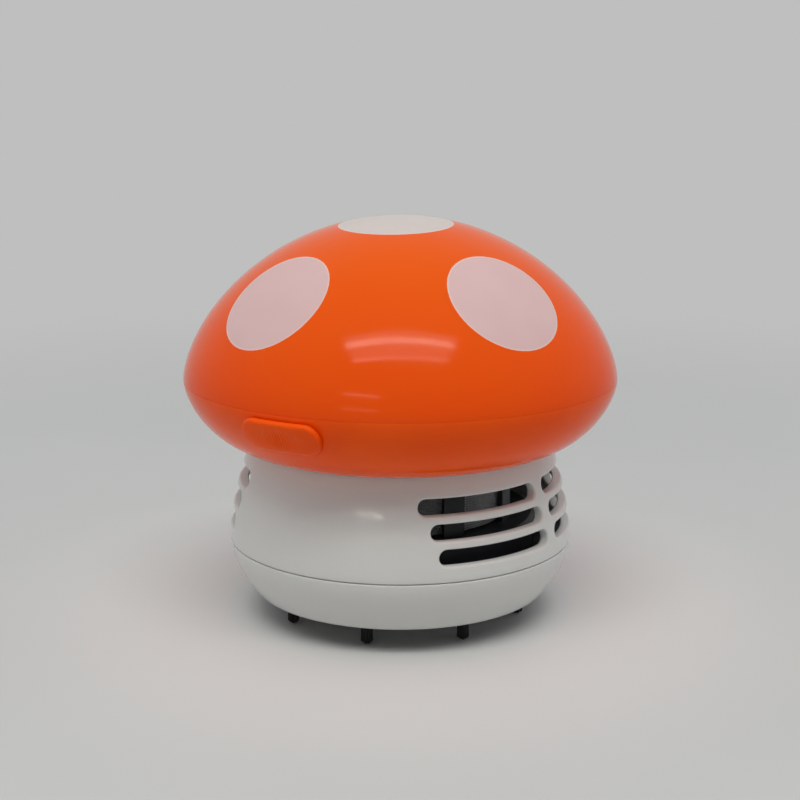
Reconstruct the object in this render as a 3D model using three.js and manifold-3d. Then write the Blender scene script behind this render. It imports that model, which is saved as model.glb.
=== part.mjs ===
// A desktop mini vacuum cleaner in the shape of a toadstool, in millimetres.
// +Z is up, the switch is at the front, towards -Y, and the bristle tips stand on z = 0.
import * as THREE from "three";
import { mergeVertices } from "three/addons/utils/BufferGeometryUtils.js";
import Module from "manifold-3d";

const wasm = await Module();
wasm.setup();

// Overall sizes
const capDiameter = 87.8;
const domeHeight = 32.1; // cap seam up to the crown
const dishDepth = 13.9; // cap seam down to the underside of the dish
const stemHeight = 19.4; // underside of the dish down to the base seam
const stemFootDiameter = 70.4;
const neckDiameter = 61.4;
const baseHeight = 10.7; // base seam down to the underside of the base
const baseUndersideDiameter = 60;
const tuftReach = 5; // underside of the base down to the bristle tips

// Walls and clearances
const wall = 2;
const floorWall = 1.6;
const seamGap = 0.3; // joint line between two shells
const seatGap = 0.3; // a piece and what it sits on
const runGap = 0.5; // a moving piece and its neighbour
const cutOverrun = 2;
const weldDistance = 0.0001;

// Heights that follow from the sizes above
const baseUnderside = tuftReach;
const baseSeam = baseUnderside + baseHeight;
const dishUnderside = baseSeam + stemHeight;
const capSeam = dishUnderside + dishDepth;
const capRadius = capDiameter / 2;
const stemFootRadius = stemFootDiameter / 2;
const neckRadius = neckDiameter / 2;

// How many flat sides a round thing has
const shellSides = 32;
const footSides = 40; // stem and base
const smallSides = 12;
const sectorStep = 360 / shellSides; // degrees in one side of a shell

const degree = Math.PI / 180;

// A place at a radius and a turn in degrees from the front, counted towards +X.
function place(radius, turn) {
  return [radius * Math.sin(turn * degree), -radius * Math.cos(turn * degree)];
}

// A closed geometry as a solid, with its faces turned outwards.
function toSolid(geometry) {
  const loose = geometry.index ? geometry.toNonIndexed() : geometry.clone();
  loose.deleteAttribute("normal");
  loose.deleteAttribute("uv");
  const merged = mergeVertices(loose, weldDistance);
  const corners = merged.index.array;
  const faces = [];
  for (let i = 0; i < corners.length; i += 3) {
    const face = [corners[i], corners[i + 1], corners[i + 2]];
    if (new Set(face).size === face.length) faces.push(face);
  }
  const vertProperties = merged.attributes.position.array;
  const build = (list) =>
    new wasm.Manifold(
      new wasm.Mesh({ numProp: 3, vertProperties, triVerts: new Uint32Array(list.flat()) }),
    );
  const solid = build(faces);
  if (solid.volume() > 0) return solid;
  return build(faces.map(([a, b, c]) => [a, c, b]));
}

function union(solids) {
  return solids.reduce((whole, next) => whole.add(next));
}

function cut(solid, cutters) {
  return cutters.reduce((rest, next) => rest.subtract(next), solid);
}

// A block between two corners.
function block(low, high) {
  const size = high.map((value, axis) => value - low[axis]);
  const middle = high.map((value, axis) => (value + low[axis]) / 2);
  return toSolid(new THREE.BoxGeometry(...size).translate(...middle));
}

// An upright cylinder between two heights.
function post(radius, low, high, [x, y] = [0, 0], sides = smallSides) {
  const geometry = new THREE.CylinderGeometry(radius, radius, high - low, sides);
  geometry.rotateX(90 * degree);
  return toSolid(geometry.translate(x, y, (low + high) / 2));
}

// A profile of [radius, height] points, turned round the upright axis.
// It starts and ends on the axis, or it is closed here on its own start.
function turned(profile, sides = shellSides) {
  const onAxis = profile[0][0] === 0 && profile.at(-1)[0] === 0;
  const closed = onAxis ? profile : [...profile, profile[0]];
  const points = closed.map(([radius, height]) => new THREE.Vector2(radius, height));
  return toSolid(new THREE.LatheGeometry(points, sides).rotateX(90 * degree));
}

// A flat outline of [x, y] points between two heights, with a hole if one is given.
function slab(outline, low, high, hole = null) {
  const toPoints = (list) => list.map(([x, y]) => new THREE.Vector2(x, y));
  const shape = new THREE.Shape(toPoints(outline));
  if (hole) shape.holes.push(new THREE.Path(toPoints(hole)));
  const geometry = new THREE.ExtrudeGeometry(shape, { depth: high - low, bevelEnabled: false });
  return toSolid(geometry.translate(0, 0, low));
}

// Part of a ring between two radii, two turns and two heights.
function sector(inner, outer, from, to, low, high) {
  const steps = Math.max(1, Math.round((to - from) / sectorStep));
  const turns = Array.from({ length: steps + 1 }, (_, i) => from + ((to - from) * i) / steps);
  const outside = turns.map((turn) => place(outer, turn));
  const inside = turns.map((turn) => place(inner, turn)).reverse();
  return slab([...outside, ...inside], low, high);
}

// The outline of a rounded bar, as [along, up] points round its middle.
const roundEndSteps = 3;
const barSteps = 5;
function roundedBar(halfLength, halfHeight, cornerRadius) {
  const points = [];
  const corners = [
    [1, 1, 0],
    [-1, 1, 90],
    [-1, -1, 180],
    [1, -1, 270],
  ];
  for (const [alongSign, upSign, start] of corners) {
    const along = alongSign * (halfLength - cornerRadius);
    const up = upSign * (halfHeight - cornerRadius);
    for (let i = 0; i <= roundEndSteps; i += 1) {
      const angle = (start + (90 * i) / roundEndSteps) * degree;
      points.push([along + cornerRadius * Math.cos(angle), up + cornerRadius * Math.sin(angle)]);
    }
    const straight = alongSign * upSign > 0;
    for (let i = 1; straight && i < barSteps; i += 1) {
      points.push([along * (1 - (2 * i) / barSteps), upSign * halfHeight]);
    }
  }
  return points;
}

// A rounded bar wrapped round the upright axis, from one radius to another.
function wrappedBar({ middleTurn, height, halfLength, halfHeight, corner, bendRadius, inner, outer }) {
  const outline = roundedBar(halfLength, halfHeight, corner);
  const shape = new THREE.Shape(outline.map(([along, up]) => new THREE.Vector2(along, up)));
  const geometry = new THREE.ExtrudeGeometry(shape, { depth: outer - inner, bevelEnabled: false });
  const position = geometry.attributes.position;
  for (let i = 0; i < position.count; i += 1) {
    const turn = middleTurn + position.getX(i) / bendRadius / degree;
    const [x, y] = place(inner + position.getZ(i), turn);
    position.setXYZ(i, x, y, height + position.getY(i));
  }
  return toSolid(geometry);
}

const partGroup = new THREE.Group();

// Adds a solid to the part under its name.
function addPiece(name, solid, material) {
  const { vertProperties, triVerts } = solid.getMesh();
  const geometry = new THREE.BufferGeometry();
  geometry.setAttribute("position", new THREE.BufferAttribute(vertProperties, 3));
  geometry.setIndex(new THREE.BufferAttribute(triVerts, 1));
  geometry.computeVertexNormals();
  const mesh = new THREE.Mesh(geometry, material);
  mesh.name = name;
  partGroup.add(mesh);
}

function finish(color, roughness, metalness = 0) {
  return new THREE.MeshStandardMaterial({ color, roughness, metalness });
}

const orangePlastic = finish("#e2560f", 0.25);
const whitePlastic = finish("#dcdbd5", 0.3);
const blackPlastic = finish("#15161a", 0.45);
const greyMesh = finish("#3b3a3e", 0.7);
const bristle = finish("#101114", 0.6);
const steel = finish("#a9abad", 0.35, 1);
const brass = finish("#b8923f", 0.35, 1);
const copper = finish("#a65a34", 0.4, 1);
const cellFoil = finish("#2f5d50", 0.35, 0.3);
const magnetGrey = finish("#3a3a3c", 0.6);
const redInsulation = finish("#b31b1b", 0.5);
const blackInsulation = finish("#1b1b1d", 0.5);

// Outlines of the shells

// The dome narrows slowly at the seam and faster towards the crown.
const domeFullness = 1.59;
function domeCurve(radius, height, steps) {
  return Array.from({ length: steps + 1 }, (_, i) => {
    const angle = (90 * i * degree) / steps;
    const across = i === steps ? 0 : radius * Math.cos(angle);
    return [across, capSeam + height * Math.sin(angle) ** (2 / domeFullness)];
  });
}

// The dish curves from the seam down and in to a flat middle.
const dishFlatRadius = 28;
const dishFullness = 1.6;
function dishCurve(radius, depth, fromAngle, toAngle, steps) {
  return Array.from({ length: steps + 1 }, (_, i) => {
    const angle = (fromAngle + ((toAngle - fromAngle) * i) / steps) * degree;
    const across = dishFlatRadius + (radius - dishFlatRadius) * Math.cos(angle);
    return [across, capSeam - depth * Math.sin(angle) ** (2 / dishFullness)];
  });
}

// The angle at which a dish curve reaches a drop below the seam.
function dishAngleAtDrop(drop, depth) {
  return Math.asin((drop / depth) ** (dishFullness / 2)) / degree;
}

// The stem narrows from its foot to the neck.
const socketDepth = 1; // how far the neck goes up into the dish
const stemFullness = 1.55;
const stemTop = dishUnderside + socketDepth - seatGap;
const stemBottom = baseSeam + seamGap / 2;
function stemRadiusAt(height) {
  const share = (height - stemBottom) / (stemTop - stemBottom);
  return stemFootRadius - (stemFootRadius - neckRadius) * share ** stemFullness;
}

// The base narrows from the seam to the rim of its underside.
const baseFullness = 1.7;
const baseRimDrop = 0.5;
const baseRimRadius = baseUndersideDiameter / 2 + baseRimDrop;
const baseTop = baseSeam - seamGap / 2;
const baseRim = baseUnderside + baseRimDrop;
function baseRadiusAt(height) {
  const share = (baseTop - height) / (baseTop - baseRim);
  return stemFootRadius - (stemFootRadius - baseRimRadius) * share ** baseFullness;
}

// Points of a wall between two heights, as [radius, height].
function wallPoints(radiusAt, from, to, steps, inset = 0) {
  return Array.from({ length: steps + 1 }, (_, i) => {
    const height = from + ((to - from) * i) / steps;
    return [radiusAt(height) - inset, height];
  });
}

// A pan head screw with its head's underside at a height, pointing down.
const screwHeadRadius = 2.1;
const screwHeadHeight = 1.4;
const screwRadius = 1.1;
const screwHoleRadius = screwRadius + seatGap;
const screwTip = 1;
function panScrew([x, y], underside, length) {
  const profile = [
    [0, underside - length],
    [screwRadius, underside - length + screwTip],
    [screwRadius, underside],
    [screwHeadRadius, underside],
    [screwHeadRadius, underside + screwHeadHeight / 2],
    [screwHeadRadius / 2, underside + screwHeadHeight],
    [0, underside + screwHeadHeight],
  ];
  return turned(profile, smallSides).translate([x, y, 0]);
}

// Motor, standing in a cup in the top of the stem
const canRadius = 10;
const canHalfFlat = 7.6;
const canWall = 0.6;
const canHeight = 20.4;
const cupWall = 1.6;
const cupFloor = 1.3;
const cupDepth = 3.3;
const cupRadius = canRadius + seatGap;
const cupFloorTop = stemTop - cupDepth;
const canBottom = cupFloorTop + seatGap;
const canTop = canBottom + canHeight;
const noseRadius = 3;
const noseHeight = 1.4;
const shaftRadius = 1;
const shaftHoleRadius = shaftRadius + seatGap;

// The outline of a round can with two flats, facing +X and -X.
const canArcSteps = 6;
function flattedCircle(radius, halfFlat) {
  const reach = Math.acos(halfFlat / radius);
  const from = [reach, Math.PI + reach];
  return from.flatMap((start) =>
    Array.from({ length: canArcSteps + 1 }, (_, i) => {
      const angle = start + ((Math.PI - 2 * reach) * i) / canArcSteps;
      return [radius * Math.cos(angle), radius * Math.sin(angle)];
    }),
  );
}

function makeMotorCan() {
  const outside = slab(flattedCircle(canRadius, canHalfFlat), canBottom, canTop);
  const hollow = slab(
    flattedCircle(canRadius - canWall, canHalfFlat - canWall),
    canBottom + canWall,
    canTop + cutOverrun,
  );
  const nose = post(noseRadius, canBottom - noseHeight, canBottom + canWall / 2);
  const bore = post(shaftHoleRadius, canBottom - noseHeight - cutOverrun, canBottom + cutOverrun);
  return cut(outside.add(nose), [hollow, bore]);
}

const magnetThickness = 2;
const magnetReach = 46; // degrees to each side of its middle
const magnetHeight = 13;
const magnetLift = 3.2;
function makeMagnet(middleTurn) {
  const outer = canRadius - canWall - seatGap;
  const low = canBottom + magnetLift;
  const from = middleTurn - magnetReach;
  return sector(outer - magnetThickness, outer, from, middleTurn + magnetReach, low, low + magnetHeight);
}

// The wound armature has three poles with a slot between each two.
const armatureRadius = 6.5;
const armatureHubRadius = 3.4;
const poleCount = 3;
const poleReach = 48;
const poleTurns = [-poleReach, 0, poleReach];
const armatureLift = 5.2;
const armatureHeight = 10;
const armatureBottom = canBottom + armatureLift;
function makeArmature() {
  const outline = [];
  for (let pole = 0; pole < poleCount; pole += 1) {
    const middle = (360 / poleCount) * pole;
    outline.push(...poleTurns.map((turn) => place(armatureRadius, middle + turn)));
    outline.push(place(armatureHubRadius, middle + 180 / poleCount));
  }
  const top = armatureBottom + armatureHeight;
  const bore = post(shaftHoleRadius, armatureBottom - cutOverrun, top + cutOverrun);
  return slab(outline, armatureBottom, top).subtract(bore);
}

const commutatorRadius = 2.4;
const commutatorHeight = 3.6;
const commutatorBottom = armatureBottom + armatureHeight + seatGap;
function makeCommutator() {
  const top = commutatorBottom + commutatorHeight;
  const bore = post(shaftHoleRadius, commutatorBottom - cutOverrun, top + cutOverrun);
  return post(commutatorRadius, commutatorBottom, top).subtract(bore);
}

const endCapThickness = 2.5;
const endCapBottom = canTop + seatGap;
const endCapTop = endCapBottom + endCapThickness;
const rearBossRadius = 3.2;
const rearBossHeight = 1.8;
const bearingDepth = 3.4;
const terminalOffset = 5.2;
const terminalWidth = 2.2;
const terminalThickness = 0.4;
const terminalRise = 4.6;
function terminalBlock(side, clearance, low, high) {
  const middle = side * terminalOffset;
  const halfWidth = terminalWidth / 2 + clearance;
  const halfThickness = terminalThickness / 2 + clearance;
  return block([middle - halfWidth, -halfThickness, low], [middle + halfWidth, halfThickness, high]);
}

function makeEndCap() {
  const plate = slab(flattedCircle(canRadius, canHalfFlat), endCapBottom, endCapTop);
  const boss = post(rearBossRadius, endCapTop - cutOverrun / 2, endCapTop + rearBossHeight);
  const bearing = post(shaftHoleRadius, endCapBottom - cutOverrun, endCapBottom + bearingDepth);
  const slots = [-1, 1].map((side) =>
    terminalBlock(side, seatGap, endCapBottom - cutOverrun, endCapTop + cutOverrun),
  );
  return cut(plate.add(boss), [bearing, ...slots]);
}

// Impeller, hanging on the shaft inside the filter basket
const impellerRadius = 17;
const impellerDisc = 1;
const impellerHubRadius = 3.2;
const bladeHeight = 4.8;
const bladeThickness = 1;
const bladeEyeRadius = 5.5;
const bladeCount = 9;
const bladeSweep = 34; // degrees that a blade leans back
const bladeSteps = 4;
const impellerTop = cupFloorTop - cupFloor - runGap;
const impellerBottom = impellerTop - impellerDisc - bladeHeight;
function bladeOutline(start) {
  const along = Array.from({ length: bladeSteps + 1 }, (_, i) => i / bladeSteps);
  const edge = (side) =>
    along.map((share) => {
      const radius = bladeEyeRadius + (impellerRadius - bladeThickness - bladeEyeRadius) * share;
      const halfTurn = bladeThickness / 2 / radius / degree;
      return place(radius, start + bladeSweep * share + side * halfTurn);
    });
  return [...edge(1), ...edge(-1).reverse()];
}

function makeImpeller() {
  const discLow = impellerTop - impellerDisc;
  const disc = post(impellerRadius, discLow, impellerTop, [0, 0], shellSides);
  const hub = post(impellerHubRadius, impellerBottom, impellerTop);
  const blades = Array.from({ length: bladeCount }, (_, i) =>
    slab(bladeOutline((360 / bladeCount) * i), impellerBottom, discLow + impellerDisc / 2),
  );
  const bore = post(shaftHoleRadius, impellerBottom - cutOverrun, impellerTop + cutOverrun);
  return union([disc, hub, ...blades]).subtract(bore);
}

const shaftBelowHub = 0.8;
function makeShaft() {
  return post(shaftRadius, impellerBottom - shaftBelowHub, endCapBottom + bearingDepth - seatGap);
}

// Battery cells and the tray that holds them, inside the cap
const cellRadius = 7.25;
const cellLength = 50.5;
const nubRadius = 2.75;
const nubHeight = 1;
const cellLift = 2; // cap seam up to the middle of the cells
const cellEdge = 0.6;
const cellSides = 18;
const trayWall = 1.2;
const trayRoom = 1; // between the tray's edge and the wall of the dish
const trayInnerWallRise = 8.5;
const trayOuterWallRise = 6.5;
const trayOuterHalf = 14;
const screwReach = 4;
const canRoom = 1.75; // between the motor can and the walls of the tray
const contactThickness = 0.4;
const springLength = 3.6;
const cellHeight = capSeam + cellLift;
const cellOffset = canRadius + canRoom + trayWall + seatGap + cellRadius;
const trayTop = cellHeight - cellRadius - seatGap;
const trayBottom = trayTop - floorWall;
const trayInnerWallTop = trayTop + trayInnerWallRise;
const trayOuterWallTop = trayTop + trayOuterWallRise;
const bayHalf = (cellLength + springLength + 2 * contactThickness + 5 * seatGap) / 2;
const contactMiddle = bayHalf - seatGap - contactThickness / 2;
const springFar = contactMiddle - contactThickness / 2 - seatGap;
const springNear = springFar - springLength;

function makeCell(direction) {
  const flatEnd = springNear - seatGap;
  const length = cellLength;
  const profile = [
    [0, -flatEnd],
    [cellRadius - cellEdge, -flatEnd],
    [cellRadius, cellEdge - flatEnd],
    [cellRadius, length - nubHeight - cellEdge - flatEnd],
    [cellRadius - cellEdge, length - nubHeight - flatEnd],
    [nubRadius, length - nubHeight - flatEnd],
    [nubRadius, length - flatEnd],
    [0, length - flatEnd],
  ];
  const lying = turned(profile, cellSides).rotate([-90 * direction, 0, 0]);
  return lying.translate([-direction * cellOffset, 0, cellHeight]);
}

// A round wire or lead along a curve.
function tube(curve, radius, sides, steps) {
  const section = Array.from({ length: sides }, (_, i) => {
    const angle = (360 * i * degree) / sides;
    return new THREE.Vector2(radius * Math.cos(angle), radius * Math.sin(angle));
  });
  const shape = new THREE.Shape(section);
  return toSolid(new THREE.ExtrudeGeometry(shape, { extrudePath: curve, steps, bevelEnabled: false }));
}

// Cone springs press on the flat ends of the cells.
const springWire = 0.25;
const springCurls = 3;
const curlSteps = 8;
const curlSides = 5;
const springBaseRadius = 4.2;
const springTipRadius = 2.4;
class ConeCoil extends THREE.Curve {
  constructor(direction) {
    super();
    this.direction = direction;
  }

  getPoint(share, target = new THREE.Vector3()) {
    const radius = springBaseRadius + (springTipRadius - springBaseRadius) * share;
    const angle = 360 * degree * springCurls * share;
    const along = springFar - springWire - (springLength - 2 * springWire) * share;
    return target.set(
      -this.direction * cellOffset + radius * Math.cos(angle),
      -this.direction * along,
      cellHeight + radius * Math.sin(angle),
    );
  }
}

function makeSpring(direction) {
  const coil = new ConeCoil(direction);
  const points = coil.getPoints(springCurls * curlSteps);
  const gaps = points.flatMap((point, i) =>
    points.slice(i + curlSteps - 1).map((other) => point.distanceTo(other) - 2 * springWire),
  );
  console.log("least gap between the curls of a spring:", Math.min(...gaps).toFixed(2));
  return tube(coil, springWire, curlSides, springCurls * curlSteps);
}

const contactHalf = 4.5;
const tabHalf = 1.5;
const tabRise = 2.6;
const tabInset = 2.5;
const bridgeHalfHeight = 2;
function contactPlate(x, y, halfWidth, halfHeight) {
  const halfThickness = contactThickness / 2;
  return block(
    [x - halfWidth, y - halfThickness, cellHeight - halfHeight],
    [x + halfWidth, y + halfThickness, cellHeight + halfHeight],
  );
}

function makeEndContact(side) {
  const plate = contactPlate(side * cellOffset, -contactMiddle, contactHalf, contactHalf);
  const tabMiddle = side * (cellOffset - tabInset);
  const tab = contactPlate(tabMiddle, -contactMiddle, tabHalf, contactHalf + tabRise);
  const lowerHalf = block(
    [-capRadius, -capRadius, capSeam - dishDepth],
    [capRadius, capRadius, cellHeight],
  );
  return plate.add(tab.subtract(lowerHalf));
}

function makeBridge() {
  const plates = [-1, 1].map((side) =>
    contactPlate(side * cellOffset, contactMiddle, contactHalf, contactHalf),
  );
  return union([...plates, contactPlate(0, contactMiddle, cellOffset, bridgeHalfHeight)]);
}

// Dish, the lower shell of the cap
const lipThickness = 1.1;
const lipRise = 2.2;
const lipGap = 0.9;
const lipFootDrop = 2.4;
const openingGap = 0.6;
const bossRadius = 2.6;
const lipOuterRadius = capRadius - wall - lipGap;
const lipInnerRadius = lipOuterRadius - lipThickness;
const dishFloorBottom = dishUnderside + socketDepth;
const dishFloorTop = dishFloorBottom + floorWall;
const dishInnerDepth = capSeam - dishFloorTop;
const dishOpening = canRadius + openingGap;
const socketRadius = neckRadius + runGap;
const dishOuterSteps = 7;
const dishInnerSteps = 4;
const dishRim = capSeam - seamGap / 2;
function dishInnerRadiusAt(height) {
  const angle = dishAngleAtDrop(capSeam - height, dishInnerDepth) * degree;
  return dishFlatRadius + (capRadius - wall - dishFlatRadius) * Math.cos(angle);
}

function dishOutside(inset = 0) {
  const radius = capRadius - inset;
  const depth = dishDepth - inset;
  const start = dishAngleAtDrop(seamGap / 2, depth);
  const end = Math.acos((socketRadius - dishFlatRadius) / (radius - dishFlatRadius)) / degree;
  return dishCurve(radius, depth, start, end, dishOuterSteps);
}

// Screws: three hold the tray, two the motor clamp and two the stem
const traySupportRadius = 33.2;
const trayBackSupport = 31.5;
const clampReach = 5.8; // from the side of the motor out to a screw of its clamp
const clampSupport = canRadius + clampReach;
const stemScrewOffset = 26;
const trayScrews = [
  place(traySupportRadius, 90),
  place(traySupportRadius, -90),
  place(trayBackSupport, 180),
];
const clampScrews = [place(clampSupport, 0), place(clampSupport, 180)];
const stemScrews = [place(stemScrewOffset, 0), place(stemScrewOffset, 180)];
const clampRise = 2.2; // dish floor up to the top of the clamp's bosses
const clampBossTop = dishFloorTop + clampRise;
const clampEarBottom = clampBossTop + seatGap;
const clampEarTop = clampEarBottom + floorWall;
const trayScrewLength = 4.4;
const clampScrewLength = 4.9;
const stemScrewLength = 9.4;
const pilotEnd = 0.4; // left under the end of a pilot hole
const trayScrewTip = trayTop + seatGap - trayScrewLength;
const clampScrewTip = clampEarTop + seatGap - clampScrewLength;

// Slide switch and the knob that moves it
const switchTravel = 3;
const switchHeight = capSeam - 4.5;
const switchCaseFront = 35;
const switchCaseDepth = 6;
const switchCaseHalfWidth = 6.5;
const switchCaseHalfHeight = 3.25;
const switchCaseMiddle = switchTravel / 2;
const switchRecess = 2.2;
const leverHalf = 1.5;
const leverLength = 4.5;
const leverGap = 0.4;
const switchWall = 1.3;
const pinCount = 3;
const pinPitch = 3;
const pinHalf = 0.4;
const pinLength = 2.6;
const switchBottom = switchHeight - switchCaseHalfHeight;
const switchLeft = switchCaseMiddle - switchCaseHalfWidth;
const switchRight = switchCaseMiddle + switchCaseHalfWidth;
const switchBack = switchCaseFront - switchCaseDepth;

function makeSwitchCase() {
  const body = block(
    [switchLeft, -switchCaseFront, switchBottom],
    [switchRight, -switchBack, switchHeight + switchCaseHalfHeight],
  );
  const reach = leverHalf + leverGap;
  const recess = block(
    [-reach, -switchCaseFront - cutOverrun, switchHeight - reach],
    [switchTravel + reach, -switchCaseFront + switchRecess, switchHeight + reach],
  );
  return body.subtract(recess);
}

function makeSwitchLever() {
  const inner = switchCaseFront - switchRecess + seatGap;
  return block(
    [-leverHalf, -switchCaseFront - leverLength, switchHeight - leverHalf],
    [leverHalf, -inner, switchHeight + leverHalf],
  );
}

function makeSwitchPin(index) {
  const middle = switchCaseMiddle + (index - (pinCount - 1) / 2) * pinPitch;
  const front = switchBack - seatGap;
  return block(
    [middle - pinHalf, -front, switchHeight - pinHalf],
    [middle + pinHalf, -front + pinLength, switchHeight + pinHalf],
  );
}

const knobHalfLength = 8.8;
const knobHalfHeight = 3.6;
const knobCorner = 3.1;
const knobDrop = 4.6; // cap seam down to the middle of the knob
const knobThickness = 1.25;
const knobNeckHalf = 2.8;
const knobNeckHalfHeight = 1.4;
const knobFork = 3.4; // how deep the fork takes the lever
const knobPocket = leverHalf + leverGap;
const forkGap = 2.4; // between the switch case and the end of the fork
const knobNeckEnd = switchCaseFront + forkGap;
const knobSteps = 8;
const knobArc = 60; // degrees of the dish curve that the knob covers
function knobLayer(gap) {
  return dishCurve(capRadius + gap, dishDepth + gap, 0, knobArc, knobSteps);
}

function makeKnob() {
  const layer = turned([...knobLayer(seatGap), ...knobLayer(seatGap + knobThickness).reverse()]);
  const outline = wrappedBar({
    middleTurn: 0,
    height: capSeam - knobDrop,
    halfLength: knobHalfLength,
    halfHeight: knobHalfHeight,
    corner: knobCorner,
    bendRadius: capRadius,
    inner: dishFlatRadius,
    outer: capRadius + knobThickness + cutOverrun,
  });
  const middleLayer = knobLayer(seatGap + knobThickness / 2);
  const behindFace = turned([[0, capSeam], ...middleLayer, [0, middleLayer.at(-1)[1]]]);
  const neck = block(
    [-knobNeckHalf, -capRadius - knobThickness, switchHeight - knobNeckHalfHeight],
    [knobNeckHalf, -knobNeckEnd, switchHeight + knobNeckHalfHeight],
  ).intersect(behindFace);
  const fork = block(
    [-knobPocket, -knobNeckEnd - knobFork, switchHeight - knobPocket],
    [knobPocket, -knobNeckEnd + cutOverrun, switchHeight + knobPocket],
  );
  return layer.intersect(outline).add(neck).subtract(fork);
}

function makeDish() {
  const outside = dishOutside();
  const innerStart = dishAngleAtDrop(lipFootDrop, dishInnerDepth);
  const inside = dishCurve(capRadius - wall, dishInnerDepth, innerStart, 90, dishInnerSteps).reverse();
  const shell = turned([
    ...outside,
    [socketRadius, dishFloorBottom],
    [dishOpening, dishFloorBottom],
    [dishOpening, dishFloorTop],
    ...inside,
    [lipInnerRadius, capSeam - lipFootDrop + lipThickness],
    [lipInnerRadius, capSeam + lipRise],
    [lipOuterRadius, capSeam + lipRise],
    [lipOuterRadius, dishRim],
  ]);
  const filled = turned([
    [0, dishFloorBottom],
    [socketRadius, dishFloorBottom],
    ...dishOutside(wall / 2).reverse(),
    [0, dishRim],
  ]);
  const trayBosses = trayScrews.map((at) => post(bossRadius, dishFloorBottom, trayBottom - seatGap, at));
  const clampBosses = clampScrews.map((at) => post(bossRadius, dishFloorBottom, clampBossTop, at));
  const cradleBack = switchBack - seatGap;
  const cradleSides = [
    [switchLeft - seatGap - switchWall, switchLeft - seatGap],
    [switchRight + seatGap, switchRight + seatGap + switchWall],
  ].map(([left, right]) =>
    block(
      [left, -switchCaseFront, dishFloorBottom],
      [right, -cradleBack, switchHeight + knobNeckHalfHeight],
    ),
  );
  const shelf = block(
    [switchLeft, -switchCaseFront, dishFloorBottom],
    [switchRight, -cradleBack, switchBottom - seatGap],
  );
  const supports = union([...trayBosses, ...clampBosses, ...cradleSides, shelf]).intersect(filled);
  // A pilot ends just under its screw, so that it never comes out through the curved wall.
  const pilotUnder = (tip) => (at) => post(screwHoleRadius, tip - pilotEnd, capSeam, at);
  const pilots = [
    ...trayScrews.map(pilotUnder(trayScrewTip)),
    ...clampScrews.map(pilotUnder(clampScrewTip)),
  ];
  const through = stemScrews.map((at) =>
    post(screwHoleRadius, dishFloorBottom - cutOverrun, dishFloorTop + cutOverrun, at),
  );
  const neckRoom = knobNeckHalf + runGap;
  const window = block(
    [-neckRoom, -capRadius - cutOverrun, switchHeight - knobNeckHalfHeight - runGap],
    [neckRoom + switchTravel + runGap, -switchCaseFront, switchHeight + knobNeckHalfHeight + runGap],
  );
  return cut(shell.add(supports), [...pilots, ...through, window]);
}

// Dome, the upper shell of the cap
const domeOuterSteps = 8;
const domeInnerSteps = 5;
function makeDome() {
  const rim = capSeam + seamGap / 2;
  const outside = domeCurve(capRadius, domeHeight, domeOuterSteps);
  const inside = domeCurve(capRadius - wall, domeHeight - wall, domeInnerSteps).reverse();
  outside[0][1] = rim;
  inside[inside.length - 1][1] = rim;
  return turned([...outside.reverse(), ...inside.reverse()]);
}

function makeTray() {
  const radius = dishInnerRadiusAt(trayBottom) - trayRoom;
  const plate = post(radius, trayBottom, trayTop, [0, 0], shellSides);
  const innerWall = cellOffset - cellRadius - seatGap;
  const outerWall = cellOffset + cellRadius + seatGap;
  const foot = trayTop - floorWall / 2;
  const walls = [-1, 1].flatMap((side) => {
    const wallBlock = (across, thickness, from, to, high) =>
      block(
        [Math.min(side * across, side * (across + thickness)), from, foot],
        [Math.max(side * across, side * (across + thickness)), to, high],
      );
    const beside = wallBlock(innerWall - trayWall, trayWall, -springNear, springNear, trayInnerWallTop);
    const outside = wallBlock(outerWall, trayWall, -trayOuterHalf, trayOuterHalf, trayOuterWallTop);
    const ends = [
      [-bayHalf - trayWall, -bayHalf],
      [bayHalf, bayHalf + trayWall],
    ].map(([from, to]) =>
      wallBlock(cellOffset - contactHalf, 2 * contactHalf, from, to, cellHeight + contactHalf - runGap),
    );
    return [beside, outside, ...ends];
  });
  const motorRoom = innerWall - trayWall - seatGap;
  const motorOpening = block(
    [-motorRoom, -clampSupport - screwReach, trayBottom - cutOverrun],
    [motorRoom, clampSupport + screwReach, trayTop + cutOverrun],
  );
  const switchOpening = block(
    [-motorRoom, -capRadius, trayBottom - cutOverrun],
    [motorRoom, -switchBack + pinLength + seatGap, trayTop + cutOverrun],
  );
  const holes = trayScrews.map((at) =>
    post(screwHoleRadius, trayBottom - cutOverrun, trayTop + cutOverrun, at),
  );
  const room = turned([
    [0, dishFloorTop],
    ...dishCurve(capRadius - wall - trayRoom / 2, dishInnerDepth, 0, 90, dishInnerSteps).reverse(),
    [lipInnerRadius - trayRoom / 2, capSeam],
    [lipInnerRadius - trayRoom / 2, capSeam + domeHeight],
    [0, capSeam + domeHeight],
  ]);
  return cut(union([plate, ...walls]).intersect(room), [motorOpening, switchOpening, ...holes]);
}

// Motor clamp, a collar with two ears
const collarHeight = 8;
const collarWall = 1.2;
const earHalfWidth = 3;
const earReach = 2.8;
function makeMotorClamp() {
  const inner = flattedCircle(canRadius + seatGap, canHalfFlat + seatGap);
  const outer = flattedCircle(canRadius + seatGap + collarWall, canHalfFlat + seatGap + collarWall);
  const low = dishFloorTop + seatGap;
  const collar = slab(outer, low, low + collarHeight, inner);
  const ears = [-1, 1].map((side) => {
    const near = side * (canRadius + seatGap + collarWall / 2);
    const far = side * (clampSupport + earReach);
    return block(
      [-earHalfWidth, Math.min(near, far), clampEarBottom],
      [earHalfWidth, Math.max(near, far), clampEarTop],
    );
  });
  const holes = clampScrews.map((at) => post(screwHoleRadius, dishFloorTop, capSeam, at));
  return cut(union([collar, ...ears]), holes);
}

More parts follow.
